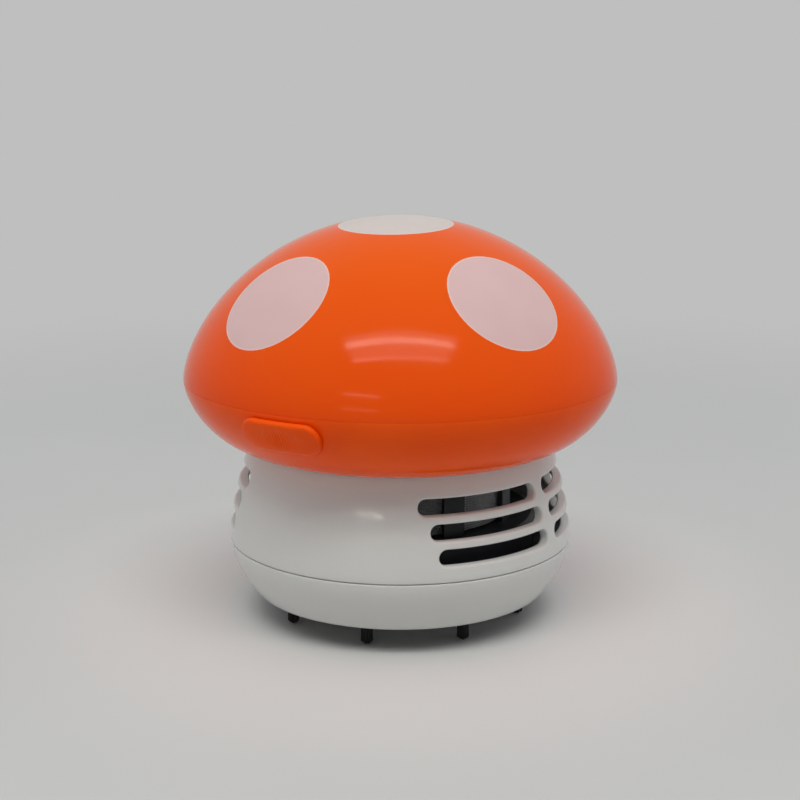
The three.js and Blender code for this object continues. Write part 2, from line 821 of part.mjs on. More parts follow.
// Stem shell with its vent slots
const stemOuterSteps = 5;
const stemInnerSteps = 2;
const stemBossRadius = 2.3;
const stemBossLength = 8.4;
const slotPitch = 4.7;
const slotHalfHeight = 1.6;
const slotPost = 2.6; // degrees from the middle of the post between two slots to a slot
const slotCutReach = 8; // past the wall, as the flat ends of a bent cutter lie inside its curve
const slotRows = [
  { rise: slotPitch, frontTurn: 43, postTurn: 90 },
  { rise: 2 * slotPitch, frontTurn: 40.5, postTurn: 88.5 },
  { rise: 3 * slotPitch, frontTurn: 36.5, postTurn: 86.7 },
];
const stemPlateBottom = stemTop - floorWall;
function makeSlots() {
  return slotRows.flatMap(({ rise, frontTurn, postTurn }) => {
    const height = baseSeam + rise;
    const bendRadius = stemRadiusAt(height);
    const ahead = [frontTurn, postTurn - slotPost];
    const behind = [postTurn + slotPost, 180 - frontTurn];
    const mirrored = ([from, to]) => [-to, -from];
    return [ahead, behind, mirrored(ahead), mirrored(behind)].map(([from, to]) =>
      wrappedBar({
        middleTurn: (from + to) / 2,
        height,
        halfLength: ((to - from) / 2) * degree * bendRadius,
        halfHeight: slotHalfHeight,
        corner: slotHalfHeight,
        bendRadius,
        inner: neckRadius - 2 * wall,
        outer: stemFootRadius + slotCutReach,
      }),
    );
  });
}

// Bayonet: hooks inside the stem's foot hold lugs on the base.
const bayonetTurns = [30, 150, 270];
const hookInner = 31.3;
const hookHeight = 1.15;
const hookReach = 8; // degrees to each side of its middle, as for a lug
const lugReach = 7;
const lugHeight = 1.2;
const lugStopReach = 1.6; // degrees that a stop is wide
const lugWall = 1.4;
const lugClearance = 0.4;
const stemFootDraft = 0.35; // how much narrower the stem is at the top of the lugs
const hookTop = stemBottom + hookHeight;
const lugBottom = hookTop + seatGap;
const lugTop = lugBottom + lugHeight;

function makeStem() {
  const outside = wallPoints(stemRadiusAt, stemBottom, stemTop, stemOuterSteps);
  const inside = wallPoints(stemRadiusAt, stemPlateBottom, stemBottom, stemInnerSteps, wall);
  const shell = turned([
    ...outside,
    [cupRadius, stemTop],
    [cupRadius, cupFloorTop],
    [noseRadius + seatGap, cupFloorTop],
    [noseRadius + seatGap, cupFloorTop - cupFloor],
    [cupRadius + cupWall, cupFloorTop - cupFloor],
    [cupRadius + cupWall, stemPlateBottom],
    ...inside,
  ], footSides);
  const bossBottom = stemPlateBottom - stemBossLength;
  const bossTop = stemPlateBottom + floorWall / 2;
  const bosses = stemScrews.map((at) => post(stemBossRadius, bossBottom, bossTop, at));
  const wallMiddle = stemFootRadius - wall / 2;
  const hooks = bayonetTurns.flatMap((turn) => [
    sector(hookInner, wallMiddle, turn - hookReach, turn + hookReach, stemBottom, hookTop),
    sector(hookInner, wallMiddle, turn - hookReach - lugStopReach, turn - hookReach, stemBottom, lugTop),
  ]);
  const pilots = stemScrews.map((at) =>
    post(screwHoleRadius, bossBottom + pilotEnd, stemTop + cutOverrun, at),
  );
  return cut(union([shell, ...bosses, ...hooks]), [...pilots, ...makeSlots()]);
}

// Brush: four strips in a groove under the base, with two tufts each
const brushRadius = 25.5;
const stripHalfWidth = 2.8;
const stripHeight = 2.3;
const stripProud = 0.6; // how far a strip stands out below the base
const grooveDepth = 2;
const stripCount = 4;
const tuftCount = 8;
const firstTuft = 15.5;
const stripGapTurn = 0.6; // degrees left free at each end of a strip
const tuftRadius = 1.15;
const strandPitch = 0.33;
const strandRadius = 0.125;
const strandSides = 3;
const tuftSpread = 1.15;
const tipCut = 0.5; // strands reach this far below the floor before they are cut flat
const strandRoot = 0.4;
const stripBottom = baseUnderside - stripProud;

// The places of the strands in a tuft, in rows that are offset from each other.
function strandPlaces() {
  const rowPitch = strandPitch * Math.sin(60 * degree);
  const rows = Math.ceil(tuftRadius / rowPitch);
  const columns = Math.ceil(tuftRadius / strandPitch) + 1;
  const places = [];
  for (let row = -rows; row <= rows; row += 1) {
    const shift = row % 2 ? strandPitch / 2 : 0;
    for (let column = -columns; column <= columns; column += 1) {
      const across = column * strandPitch + shift;
      const along = row * rowPitch;
      if (Math.hypot(across, along) <= tuftRadius) places.push([across, along]);
    }
  }
  return places;
}

// All strands of a tuft as one geometry of slanted prisms.
function tuftStrands([x, y]) {
  const corners = [];
  for (const [across, along] of strandPlaces()) {
    const top = [];
    const tip = [];
    for (let i = 0; i < strandSides; i += 1) {
      const angle = (360 * i * degree) / strandSides;
      const dx = strandRadius * Math.cos(angle);
      const dy = strandRadius * Math.sin(angle);
      top.push([x + across + dx, y + along + dy, stripBottom + strandRoot]);
      tip.push([x + tuftSpread * across + dx, y + tuftSpread * along + dy, -tipCut]);
    }
    corners.push(...top, ...[...tip].reverse());
    for (let i = 0; i < strandSides; i += 1) {
      const next = (i + 1) % strandSides;
      corners.push(top[i], tip[i], tip[next], top[i], tip[next], top[next]);
    }
  }
  const geometry = new THREE.BufferGeometry();
  geometry.setAttribute("position", new THREE.Float32BufferAttribute(corners.flat(), 3));
  return toSolid(geometry);
}

function makeBrushStrip(index) {
  const from = firstTuft - 180 / tuftCount + (360 / stripCount) * index;
  const to = from + 360 / stripCount;
  const strip = sector(
    brushRadius - stripHalfWidth,
    brushRadius + stripHalfWidth,
    from + stripGapTurn,
    to - stripGapTurn,
    stripBottom,
    stripBottom + stripHeight,
  );
  const perStrip = tuftCount / stripCount;
  const tufts = Array.from({ length: perStrip }, (_, i) =>
    tuftStrands(place(brushRadius, firstTuft + (360 / tuftCount) * (index * perStrip + i))),
  );
  const aboveFloor = block([-capRadius, -capRadius, 0], [capRadius, capRadius, capSeam]);
  return union([strip, ...tufts]).intersect(aboveFloor);
}

// Base cover with the inlet pipe and the bayonet lugs
const baseOuterSteps = 5;
const baseInnerSteps = 2;
const inletRadius = 7;
const inletWall = 1.4;
const inletHeight = 15.5;
const mouthChamfer = 1;
const grooveInner = brushRadius - stripHalfWidth - seatGap;
const grooveOuter = brushRadius + stripHalfWidth + seatGap;
const grooveTop = baseUnderside + grooveDepth;
const baseFloorTop = grooveTop + floorWall;
function makeBase() {
  const outside = wallPoints(baseRadiusAt, baseTop, baseRim, baseOuterSteps);
  const inside = wallPoints(baseRadiusAt, baseFloorTop, baseTop, baseInnerSteps, wall);
  const shell = turned([
    ...outside,
    [baseUndersideDiameter / 2, baseUnderside],
    [grooveOuter, baseUnderside],
    [grooveOuter, grooveTop],
    [grooveInner, grooveTop],
    [grooveInner, baseUnderside],
    [inletRadius + mouthChamfer, baseUnderside],
    [inletRadius, baseUnderside + mouthChamfer],
    [inletRadius, baseUnderside + inletHeight],
    [inletRadius + inletWall, baseUnderside + inletHeight],
    [inletRadius + inletWall, baseUnderside + wall],
    [grooveInner - floorWall, baseUnderside + wall],
    [grooveInner - floorWall, baseFloorTop],
    ...inside,
  ], footSides);
  const armOuter = hookInner - seatGap;
  const lugOuter = stemFootRadius - wall - lugClearance - stemFootDraft;
  const armBottom = baseFloorTop - floorWall / 2;
  const lugs = bayonetTurns.flatMap((turn) => {
    const lugPart = (inner, outer, low) =>
      sector(inner, outer, turn - lugReach, turn + lugReach, low, lugTop);
    const arm = lugPart(armOuter - lugWall, armOuter, armBottom);
    return [arm, lugPart(armOuter - lugWall / 2, lugOuter, lugBottom)];
  });
  return union([shell, ...lugs]);
}

// Filter basket, a ribbed cage on a wider skirt, with a mesh sleeve inside
const skirtRadius = 27.8;
const skirtWall = 1.4;
const skirtRise = 5.1; // base seam up to the shoulder of the skirt
const skirtEdge = 0.8;
const cageRadius = 23.3;
const ribThickness = 1.1;
const ribCount = 9;
const firstRib = 17.7;
const ribReach = 5.5; // degrees to each side of its middle
const cageRingHeight = 1.5;
const sleeveThickness = 0.5;
const skirtTop = baseSeam + skirtRise;
const cageTop = stemPlateBottom - seatGap;
const sleeveOuter = cageRadius - ribThickness - seatGap;
const sleeveInner = sleeveOuter - sleeveThickness;
function makeBasket() {
  const skirt = turned([
    [skirtRadius, baseFloorTop + seatGap],
    [skirtRadius, skirtTop - skirtEdge],
    [skirtRadius - skirtEdge, skirtTop],
    [sleeveInner - seatGap, skirtTop],
    [sleeveInner - seatGap, skirtTop - skirtWall],
    [skirtRadius - skirtWall, skirtTop - skirtWall],
    [skirtRadius - skirtWall, baseFloorTop + seatGap],
  ]);
  const ringLow = cageTop - cageRingHeight;
  const ringInner = cupRadius + cupWall + 2 * runGap;
  const ring = turned([
    [ringInner, ringLow],
    [cageRadius, ringLow],
    [cageRadius, cageTop],
    [ringInner, cageTop],
  ]);
  const ribs = Array.from({ length: ribCount }, (_, i) => {
    const middle = firstRib + (360 / ribCount) * i;
    const low = skirtTop - skirtWall / 2;
    const high = ringLow + cageRingHeight / 2;
    return sector(cageRadius - ribThickness, cageRadius, middle - ribReach, middle + ribReach, low, high);
  });
  return union([skirt, ring, ...ribs]);
}

function makeSleeve() {
  const low = skirtTop + seatGap;
  const high = cageTop - cageRingHeight - seatGap;
  return turned([
    [sleeveInner, low],
    [sleeveOuter, low],
    [sleeveOuter, high],
    [sleeveInner, high],
  ]);
}

// Leads inside the cap, as points along their routes: [x, y, rise above the cap seam]
const leadRadius = 0.7;
const leadSides = 8;
const leadSteps = 12;
const leads = {
  wire_negative: [
    [-17.6, -28.9, 8],
    [-14, -30, 9.5],
    [-11, -25, 11.5],
    [-8, -14, 13],
    [-6, -5, 12.8],
    [-5.2, -0.9, 11],
  ],
  wire_positive: [
    [17.6, -28.9, 8],
    [13.2, -30.2, 7],
    [9, -29.8, 3],
    [5.8, -28.4, 0],
    [4.6, -27.5, -2.2],
    [4.5, -27.2, -3.6],
  ],
  wire_motor: [
    [1.5, -27.2, -3.6],
    [1.5, -26.6, -1],
    [2.6, -22, 4.5],
    [4.6, -14, 9.5],
    [5.4, -6, 12.6],
    [5.2, -0.9, 11],
  ],
};
function makeLead(points) {
  const route = points.map(([x, y, rise]) => new THREE.Vector3(x, y, capSeam + rise));
  const curve = new THREE.CatmullRomCurve3(route);
  return tube(curve, leadRadius, leadSides, leadSteps);
}

// The part, from the outside in
addPiece("cap_dome", makeDome(), orangePlastic);
addPiece("cap_dish", makeDish(), orangePlastic);
addPiece("switch_knob", makeKnob(), orangePlastic);
addPiece("stem_shell", makeStem(), whitePlastic);
addPiece("base_cover", makeBase(), whitePlastic);
for (let i = 0; i < stripCount; i += 1) addPiece(`brush_${i + 1}`, makeBrushStrip(i), bristle);
addPiece("filter_basket", makeBasket(), blackPlastic);
addPiece("filter_mesh", makeSleeve(), greyMesh);

addPiece("impeller", makeImpeller(), whitePlastic);
addPiece("motor_shaft", makeShaft(), steel);
addPiece("motor_armature", makeArmature(), copper);
addPiece("motor_commutator", makeCommutator(), copper);
addPiece("motor_can", makeMotorCan(), steel);
addPiece("motor_magnet_front", makeMagnet(0), magnetGrey);
addPiece("motor_magnet_back", makeMagnet(180), magnetGrey);
addPiece("motor_end_cap", makeEndCap(), whitePlastic);
const terminalBottom = endCapBottom + seatGap;
for (const [name, side] of [["left", -1], ["right", 1]]) {
  const terminal = terminalBlock(side, 0, terminalBottom, endCapTop + terminalRise);
  addPiece(`motor_terminal_${name}`, terminal, brass);
}
addPiece("motor_clamp", makeMotorClamp(), blackPlastic);

addPiece("battery_tray", makeTray(), blackPlastic);
addPiece("battery_cell_left", makeCell(1), cellFoil);
addPiece("battery_cell_right", makeCell(-1), cellFoil);
addPiece("battery_spring_left", makeSpring(1), steel);
addPiece("battery_spring_right", makeSpring(-1), steel);
addPiece("contact_negative", makeEndContact(-1), steel);
addPiece("contact_positive", makeEndContact(1), steel);
addPiece("contact_bridge", makeBridge(), steel);

addPiece("slide_switch_case", makeSwitchCase(), steel);
addPiece("slide_switch_lever", makeSwitchLever(), blackPlastic);
for (let i = 0; i < pinCount; i += 1) addPiece(`switch_pin_${i + 1}`, makeSwitchPin(i), brass);

trayScrews.forEach((at, i) => {
  addPiece(`tray_screw_${i + 1}`, panScrew(at, trayTop + seatGap, trayScrewLength), steel);
});
clampScrews.forEach((at, i) => {
  addPiece(`clamp_screw_${i + 1}`, panScrew(at, clampEarTop + seatGap, clampScrewLength), steel);
});
stemScrews.forEach((at, i) => {
  addPiece(`stem_screw_${i + 1}`, panScrew(at, dishFloorTop + seatGap, stemScrewLength), steel);
});

addPiece("wire_negative", makeLead(leads.wire_negative), blackInsulation);
addPiece("wire_positive", makeLead(leads.wire_positive), redInsulation);
addPiece("wire_motor", makeLead(leads.wire_motor), redInsulation);

export default partGroup;
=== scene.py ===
# %% [markdown]
# # A desk vacuum cleaner shaped like a plain toadstool
#
# The real thing is a toy-sized vacuum cleaner for crumbs. Two orange shells make the cap, a white stem with
# vent slots holds the dust filter, and a white base stands on a ring of black bristle tufts. This lesson
# dresses the exact model that the workshop packed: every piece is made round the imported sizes, so nothing
# has to be fitted by eye.

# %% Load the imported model
import math

import bmesh
import bpy
from mathutils import Matrix, Vector
from mathutils.geometry import delaunay_2d_cdt


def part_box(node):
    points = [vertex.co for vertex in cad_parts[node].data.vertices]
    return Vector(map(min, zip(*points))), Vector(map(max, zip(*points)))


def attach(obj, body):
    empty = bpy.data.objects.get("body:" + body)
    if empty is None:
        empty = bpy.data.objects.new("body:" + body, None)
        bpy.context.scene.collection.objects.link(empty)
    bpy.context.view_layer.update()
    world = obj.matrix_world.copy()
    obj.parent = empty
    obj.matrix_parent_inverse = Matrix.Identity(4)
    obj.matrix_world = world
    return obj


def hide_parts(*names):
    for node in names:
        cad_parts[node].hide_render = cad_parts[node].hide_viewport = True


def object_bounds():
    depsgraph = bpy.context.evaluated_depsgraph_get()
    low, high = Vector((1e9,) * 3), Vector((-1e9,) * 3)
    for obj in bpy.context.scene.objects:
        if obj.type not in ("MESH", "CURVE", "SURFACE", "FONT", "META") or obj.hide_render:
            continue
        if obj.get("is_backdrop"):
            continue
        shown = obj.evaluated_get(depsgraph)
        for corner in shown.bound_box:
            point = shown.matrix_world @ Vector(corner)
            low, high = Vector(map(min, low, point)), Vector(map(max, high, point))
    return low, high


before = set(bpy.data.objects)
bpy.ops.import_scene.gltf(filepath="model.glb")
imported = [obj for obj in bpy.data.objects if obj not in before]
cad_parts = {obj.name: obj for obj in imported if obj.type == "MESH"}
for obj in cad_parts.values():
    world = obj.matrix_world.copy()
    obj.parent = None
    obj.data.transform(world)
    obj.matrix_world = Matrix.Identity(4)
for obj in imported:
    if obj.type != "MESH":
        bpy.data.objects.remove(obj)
cad_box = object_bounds()

# %% [markdown]
# ## Sizes
#
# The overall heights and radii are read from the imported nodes. Only the sizes that a box can't tell, such as
# the fullness of a curve or the thickness of a wall, are named here, in millimetres.

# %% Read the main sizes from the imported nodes
MM = 0.001
SEAM_GAP = 0.02 * MM  # the joint lines show as hair lines on the real thing
WALL = 2 * MM
FLOOR_WALL = 1.6 * MM
LIP_RISE = 2.2 * MM  # the dish's lip above the cap's seam
PACKED_GAP = 0.15 * MM  # from the base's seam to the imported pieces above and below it
FINER_SEAM = 0.07 * MM  # how far the visible pieces reach into that gap
SAME_POINT = MM / 100  # points nearer to each other than this are one

cap_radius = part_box("cap_dome")[1].x
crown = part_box("cap_dome")[1].z
lip_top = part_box("cap_dish")[1].z
cap_seam = lip_top - LIP_RISE
foot_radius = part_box("stem_shell")[1].x
stem_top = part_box("stem_shell")[1].z
stem_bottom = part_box("stem_shell")[0].z
base_seam = stem_bottom - PACKED_GAP
base_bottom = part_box("base_cover")[0].z
print("cap radius %.1f mm, crown at %.1f mm" % (cap_radius / MM, crown / MM))


# %% A helper that hands a finished piece over
def hand_over(obj, body, slot, *nodes):
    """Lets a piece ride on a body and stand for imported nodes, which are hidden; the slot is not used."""
    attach(obj, body)
    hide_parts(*nodes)
    print("%s: %d faces" % (obj.name, len(obj.data.polygons)))


# %% Small helpers for places and angles
def on_turn(radius, turn, height=0.0):
    """A point at a radius, a turn in degrees from the front towards +X, and a height."""
    angle = math.radians(turn)
    return Vector((radius * math.sin(angle), -radius * math.cos(angle), height))


def evenly(points, count):
    """The same line, as points that lie an even way apart."""
    lengths = [0.0]
    for before, after in zip(points, points[1:]):
        lengths.append(lengths[-1] + (Vector(after) - Vector(before)).length)
    spaced = []
    at = 0
    for i in range(count + 1):
        wanted = lengths[-1] * i / count
        while at < len(points) - 2 and lengths[at + 1] < wanted:
            at += 1
        share = (wanted - lengths[at]) / (lengths[at + 1] - lengths[at])
        spaced.append(Vector(points[at]).lerp(Vector(points[at + 1]), share))
    return spaced


CORNER_TURN = math.radians(18)


def softened(outline, radius, steps=3, closed=True):
    """An outline with each of its corners rounded, as far as the sides beside it have room."""
    points = [Vector(point) for point in outline]
    result = []
    for i, corner in enumerate(points):
        if not closed and i in (0, len(points) - 1):
            result.append(corner)
            continue
        back = points[i - 1] - corner
        on = points[(i + 1) % len(points)] - corner
        turn = math.pi - back.angle(on)
        if turn < CORNER_TURN:
            result.append(corner)
            continue
        reach = min(radius * math.tan(turn / 2), 0.45 * back.length, 0.45 * on.length)
        start = corner + back.normalized() * reach
        end = corner + on.normalized() * reach
        for k in range(steps + 1):
            share = k / steps
            result.append(start.lerp(corner, share).lerp(corner.lerp(end, share), share))
    return result


# %% [markdown]
# ## Building a node tree in a few words
#
# Shader trees and geometry trees are both made of nodes and links. They could be built by hand in the
# editor, but a script can be read and repeated. One helper adds a node: a value that is itself a socket
# becomes a link, and any other value is set on the input. With it the rest of the lesson reads almost like
# a recipe.


# %% Helpers that add nodes
def feed(tree, socket, value):
    """Links a socket to an input, or sets a plain value on it."""
    if isinstance(value, bpy.types.NodeSocket):
        tree.links.new(value, socket)
    else:
        socket.default_value = value


def node(tree, kind, inputs=None, **settings):
    """Adds a node to a tree, with its settings, values and links."""
    made = tree.nodes.new(kind)
    for name, value in settings.items():
        setattr(made, name, value)
    for name, value in (inputs or {}).items():
        feed(tree, made.inputs[name], value)
    return made


def sums(tree, operation, *values):
    """The output of a Math node."""
    return node(tree, "ShaderNodeMath", dict(enumerate(values)), operation=operation).outputs[0]


def vectors(tree, operation, *values):
    """The vector or value output of a Vector Math node."""
    made = node(tree, "ShaderNodeVectorMath", dict(enumerate(values)), operation=operation)
    single = operation in ("DOT_PRODUCT", "LENGTH", "DISTANCE")
    return made.outputs["Value" if single else "Vector"]


def parts_of(tree, vector):
    """The X, Y and Z of a vector."""
    return node(tree, "ShaderNodeSeparateXYZ", {"Vector": vector}).outputs


def vector_of(tree, **parts):
    """A vector from its X, Y and Z; a part that isn't given is zero."""
    return node(tree, "ShaderNodeCombineXYZ", parts).outputs["Vector"]


def ranged(tree, value, start, end, low=0.0, high=1.0, soft=False):
    """A value taken from one range to another, evenly or with soft ends."""
    inputs = {"Value": value, "From Min": start, "From Max": end, "To Min": low, "To Max": high}
    shape = "SMOOTHSTEP" if soft else "LINEAR"
    return node(tree, "ShaderNodeMapRange", inputs, interpolation_type=shape).outputs["Result"]


def shaped(tree, kind, inputs=None, **settings):
    """The first output of a geometry node, which is what it makes."""
    return node(tree, "GeometryNode" + kind, inputs, **settings).outputs[0]


# %% [markdown]
# ## Finishes
#
# Moulded plastic is never quite even. Its colour drifts a little, its gloss changes where it has been
# handled, and the skin has a faint ripple from the mould. Each finish below starts from the same three
# layers of noise on Object coordinates, so the pattern stays where it is when a piece moves.


# %% Colours and a first plastic
def paint(code):
    """A colour written as on the web, made linear for the shader."""
    parts = [int(code[i : i + 2], 16) / 255 for i in (1, 3, 5)]
    linear = [p / 12.92 if p <= 0.04045 else ((p + 0.055) / 1.055) ** 2.4 for p in parts]
    return (*linear, 1.0)


def noise(tree, place, size, detail=3.0):
    """Noise whose lumps are about this size, in metres."""
    inputs = {"Vector": place, "Scale": 1 / size, "Detail": detail}
    return node(tree, "ShaderNodeTexNoise", inputs).outputs["Fac"]


def spread(tree, value, low, high):
    """Noise brought to a range, as it seldom leaves 0.3 to 0.7 by itself."""
    return ranged(tree, value, 0.3, 0.7, low, high)


def mixed(tree, share, first, second):
    """The colour between two colours or sockets."""
    return node(tree, "ShaderNodeMix", {0: share, 6: first, 7: second}, data_type="RGBA").outputs[2]


def begin_finish(name):
    """A new material, its tree, its shader and its Object coordinates."""
    material = bpy.data.materials.new(name)
    material.use_nodes = True
    tree = material.node_tree
    shader = tree.nodes["Principled BSDF"]
    place = node(tree, "ShaderNodeTexCoord").outputs["Object"]
    return material, tree, shader, place


def bumped(tree, shader, height, depth, strength=1.0):
    """Gives a shader a relief of this depth, in metres."""
    bump = node(tree, "ShaderNodeBump", {"Height": height, "Distance": depth, "Strength": strength})
    tree.links.new(bump.outputs["Normal"], shader.inputs["Normal"])


DRIFT_SIZE = 14 * MM
WORN_PATCH = 5 * MM
RIPPLE_SIZE = 1.6 * MM
FAINT_RIPPLE = 0.004 * MM
SATIN_RIPPLE = 0.008 * MM
MATT_RIPPLE = 0.01 * MM
ROUGH_RIPPLE = 0.02 * MM


def moulded(name, light, dark, gloss=(0.2, 0.28), ripple=FAINT_RIPPLE, specular=0.4):
    """Moulded plastic: a drift of colour, patches of wear and a faint ripple."""
    material, tree, shader, place = begin_finish(name)
    drift = spread(tree, noise(tree, place, DRIFT_SIZE), 0.0, 1.0)
    tree.links.new(mixed(tree, drift, paint(light), paint(dark)), shader.inputs["Base Color"])
    worn = spread(tree, noise(tree, place, WORN_PATCH, 6.0), *gloss)
    tree.links.new(worn, shader.inputs["Roughness"])
    shader.inputs["Specular IOR Level"].default_value = specular
    bumped(tree, shader, noise(tree, place, RIPPLE_SIZE), ripple)
    return material


# %% [markdown]
# ### The spotted cap
#
# The cap is glossy orange plastic with round white spots printed on it, as on any toadstool in a picture
# book. A spot could be a separate disc, but a print has no thickness to speak of, so it belongs in the
# material. A point is inside a spot when it is close to the straight line that leaves the cap through the
# middle of that spot. One node group does that test, and it is used once for each spot.


# %% A node group that tests one printed spot
def spot_group():
    """A group that gives the distance of a point from the line through a spot's middle."""
    tree = bpy.data.node_groups.new("printed spot", "ShaderNodeTree")
    tree.interface.new_socket("Place", in_out="INPUT", socket_type="NodeSocketVector")
    tree.interface.new_socket("Middle", in_out="INPUT", socket_type="NodeSocketVector")
    tree.interface.new_socket("Outwards", in_out="INPUT", socket_type="NodeSocketVector")
    tree.interface.new_socket("Distance", in_out="OUTPUT", socket_type="NodeSocketFloat")
    given = tree.nodes.new("NodeGroupInput").outputs
    away = vectors(tree, "SUBTRACT", given["Place"], given["Middle"])
    along = vectors(tree, "DOT_PRODUCT", away, given["Outwards"])
    whole = vectors(tree, "DOT_PRODUCT", away, away)
    across = sums(tree, "SQRT", sums(tree, "SUBTRACT", whole, sums(tree, "MULTIPLY", along, along)))
    # Behind the middle of the cap the same line would print a second spot, so it is sent far away.
    behind = sums(tree, "LESS_THAN", along, BEHIND_SPOT)
    node(tree, "NodeGroupOutput", {"Distance": sums(tree, "ADD", across, behind)})
    return tree


SPOT_RADIUS = 11.5 * MM
SPOT_TILT = 43.3  # degrees from upright to the direction a side spot faces
SPOT_MIDDLE = 31.5 * MM  # from the axis out to the middle of a side spot
SPOT_HEIGHT = 67.4 * MM
# Each side spot: its turn, and how far it slipped down the cap when it was printed.
SIDE_SPOTS = ((-15.9, 0.45 * MM), (68.3, -0.25 * MM), (160.3, 0.1 * MM), (252.0, -0.1 * MM))
# The crown's spot is printed a little off the middle.
CROWN_SPOT_TURN = 11
CROWN_SPOT_ASIDE = 2.65 * MM
CROWN_SPOT_TILT = 3.2
CAP_SPECULAR = 0.14  # a soft, slightly waxy plastic gives back less than a lacquer
SPOT_BLUR = 0.05 * MM
SPOT_HIGHLIGHT_WIDTH = 0.35 * MM  # a paler band painted inside each spot's edge: a painted highlight where the print's edge catches the light
SPOT_RAG = 0.5 * MM  # the size of the unevenness of a spot's edge, and its depth
SPOT_RAG_DEPTH = 0.03 * MM
CROWN_LIGHT_DRIFT = 18 * MM
CROWN_LIGHT_SHIFT = 3 * MM
PRINT_DRIFT = 9 * MM
PRINT_GRAIN = 1.2 * MM
PRINT_THICKNESS = 0.012 * MM
HANDLED_PATCH = 6 * MM
CAP_RIPPLE = 2.2 * MM
CROWN_PRINT_LOW = 5 * MM  # below the crown: only the crown's spot lies above this
CROWN_PRINT_HIGH = 2 * MM
BEHIND_SPOT = -8 * MM


# %% The orange plastic with its spots
def spotted_cap(name):
    """Glossy orange plastic, with five white spots printed on it."""
    material, tree, shader, place = begin_finish(name)
    spot = spot_group()
    tilt = math.radians(CROWN_SPOT_TILT)
    middle = on_turn(CROWN_SPOT_ASIDE, CROWN_SPOT_TURN, crown)
    spots = [(middle, on_turn(math.sin(tilt), CROWN_SPOT_TURN, math.cos(tilt)))]
    tilt = math.radians(SPOT_TILT)
    for turn, slip in SIDE_SPOTS:
        middle = on_turn(
            SPOT_MIDDLE + slip * math.cos(tilt), turn, SPOT_HEIGHT - slip * math.sin(tilt)
        )
        spots.append((middle, on_turn(math.sin(tilt), turn, math.cos(tilt))))
    nearest = 1.0
    for middle, facing in spots:
        values = {"Place": place, "Middle": middle, "Outwards": facing}
        test = node(tree, "ShaderNodeGroup", values, node_tree=spot)
        nearest = sums(tree, "MINIMUM", nearest, test.outputs["Distance"])
    ragged = spread(tree, noise(tree, place, SPOT_RAG), -SPOT_RAG_DEPTH, SPOT_RAG_DEPTH)
    edge = sums(tree, "ADD", nearest, ragged)
    inside = ranged(tree, edge, SPOT_RADIUS + SPOT_BLUR, SPOT_RADIUS - SPOT_BLUR)
    # Painted highlight: each spot is painted paler in a narrow band inside its edge.
    rim = ranged(tree, edge, SPOT_RADIUS - SPOT_HIGHLIGHT_WIDTH, SPOT_RADIUS)
    height = parts_of(tree, place)["Z"]
    # Painted light: the orange is painted a little yellower from the seam up to the crown, standing in for how
    # the light falls on the upper cap; noise makes the change uneven.
    drift = spread(tree, noise(tree, place, CROWN_LIGHT_DRIFT), -CROWN_LIGHT_SHIFT, CROWN_LIGHT_SHIFT)
    upper = ranged(tree, sums(tree, "ADD", height, drift), cap_seam, crown - CROWN_PRINT_LOW)
    orange = mixed(tree, upper, paint("#f44f02"), paint("#f25d06"))
    print_drift = spread(tree, noise(tree, place, PRINT_DRIFT), 0.0, 1.0)
    near_crown = ranged(tree, height, crown - CROWN_PRINT_LOW, crown - CROWN_PRINT_HIGH)
    pink = mixed(tree, print_drift, paint("#dcbaba"), paint("#dfbebe"))
    pale = mixed(tree, print_drift, paint("#d4cac7"), paint("#d7cecb"))
    white = mixed(tree, rim, mixed(tree, near_crown, pink, pale), paint("#ead6cc"))
    tree.links.new(mixed(tree, inside, orange, white), shader.inputs["Base Color"])
    handled = spread(tree, noise(tree, place, HANDLED_PATCH, 6.0), 0.08, 0.13)
    printed = spread(tree, noise(tree, place, PRINT_GRAIN, 4.0), 0.3, 0.36)
    gloss = node(tree, "ShaderNodeMix", {0: inside, 2: handled, 3: printed}, data_type="FLOAT")
    tree.links.new(gloss.outputs[0], shader.inputs["Roughness"])
    shader.inputs["Specular IOR Level"].default_value = CAP_SPECULAR
    ripple = noise(tree, place, CAP_RIPPLE)
    relief = sums(tree, "ADD", sums(tree, "MULTIPLY", ripple, 0.35), inside)
    bumped(tree, shader, relief, PRINT_THICKNESS)
    return material


cap_finish = spotted_cap("spotted orange plastic")
# Painted light: the dish and the knob are the cap's plastic, painted a brighter orange than the cap to stand
# in for the light that the floor throws up on to them.
orange_painted_brighter_finish = moulded("orange plastic", "#ff5a04", "#fa5202", (0.12, 0.18), specular=CAP_SPECULAR)
knob_painted_brighter_finish = moulded(
    "satin orange plastic", "#ff5a04", "#fa5202", (0.3, 0.42), SATIN_RIPPLE, CAP_SPECULAR
)
white_finish = moulded("white plastic", "#dadcdb", "#d8dad8", (0.07, 0.11))
black_finish = moulded("black plastic", "#24252a", "#1e1f24", (0.34, 0.5), MATT_RIPPLE)
print("finishes so far:", len(bpy.data.materials))

# %% [markdown]
# ## Pieces that are turned
#
# The cap, the base and many inner pieces are round. Each could be spun in Python, but a Geometry Nodes tree
# says the rule once: take an outline, sweep it round a circle, weld the poles, and set the finish. The
# outline is drawn as a mesh of loose edges in the XZ plane. After the tree has run, the result is turned
# into a plain mesh, because only plain meshes travel well to other programs.


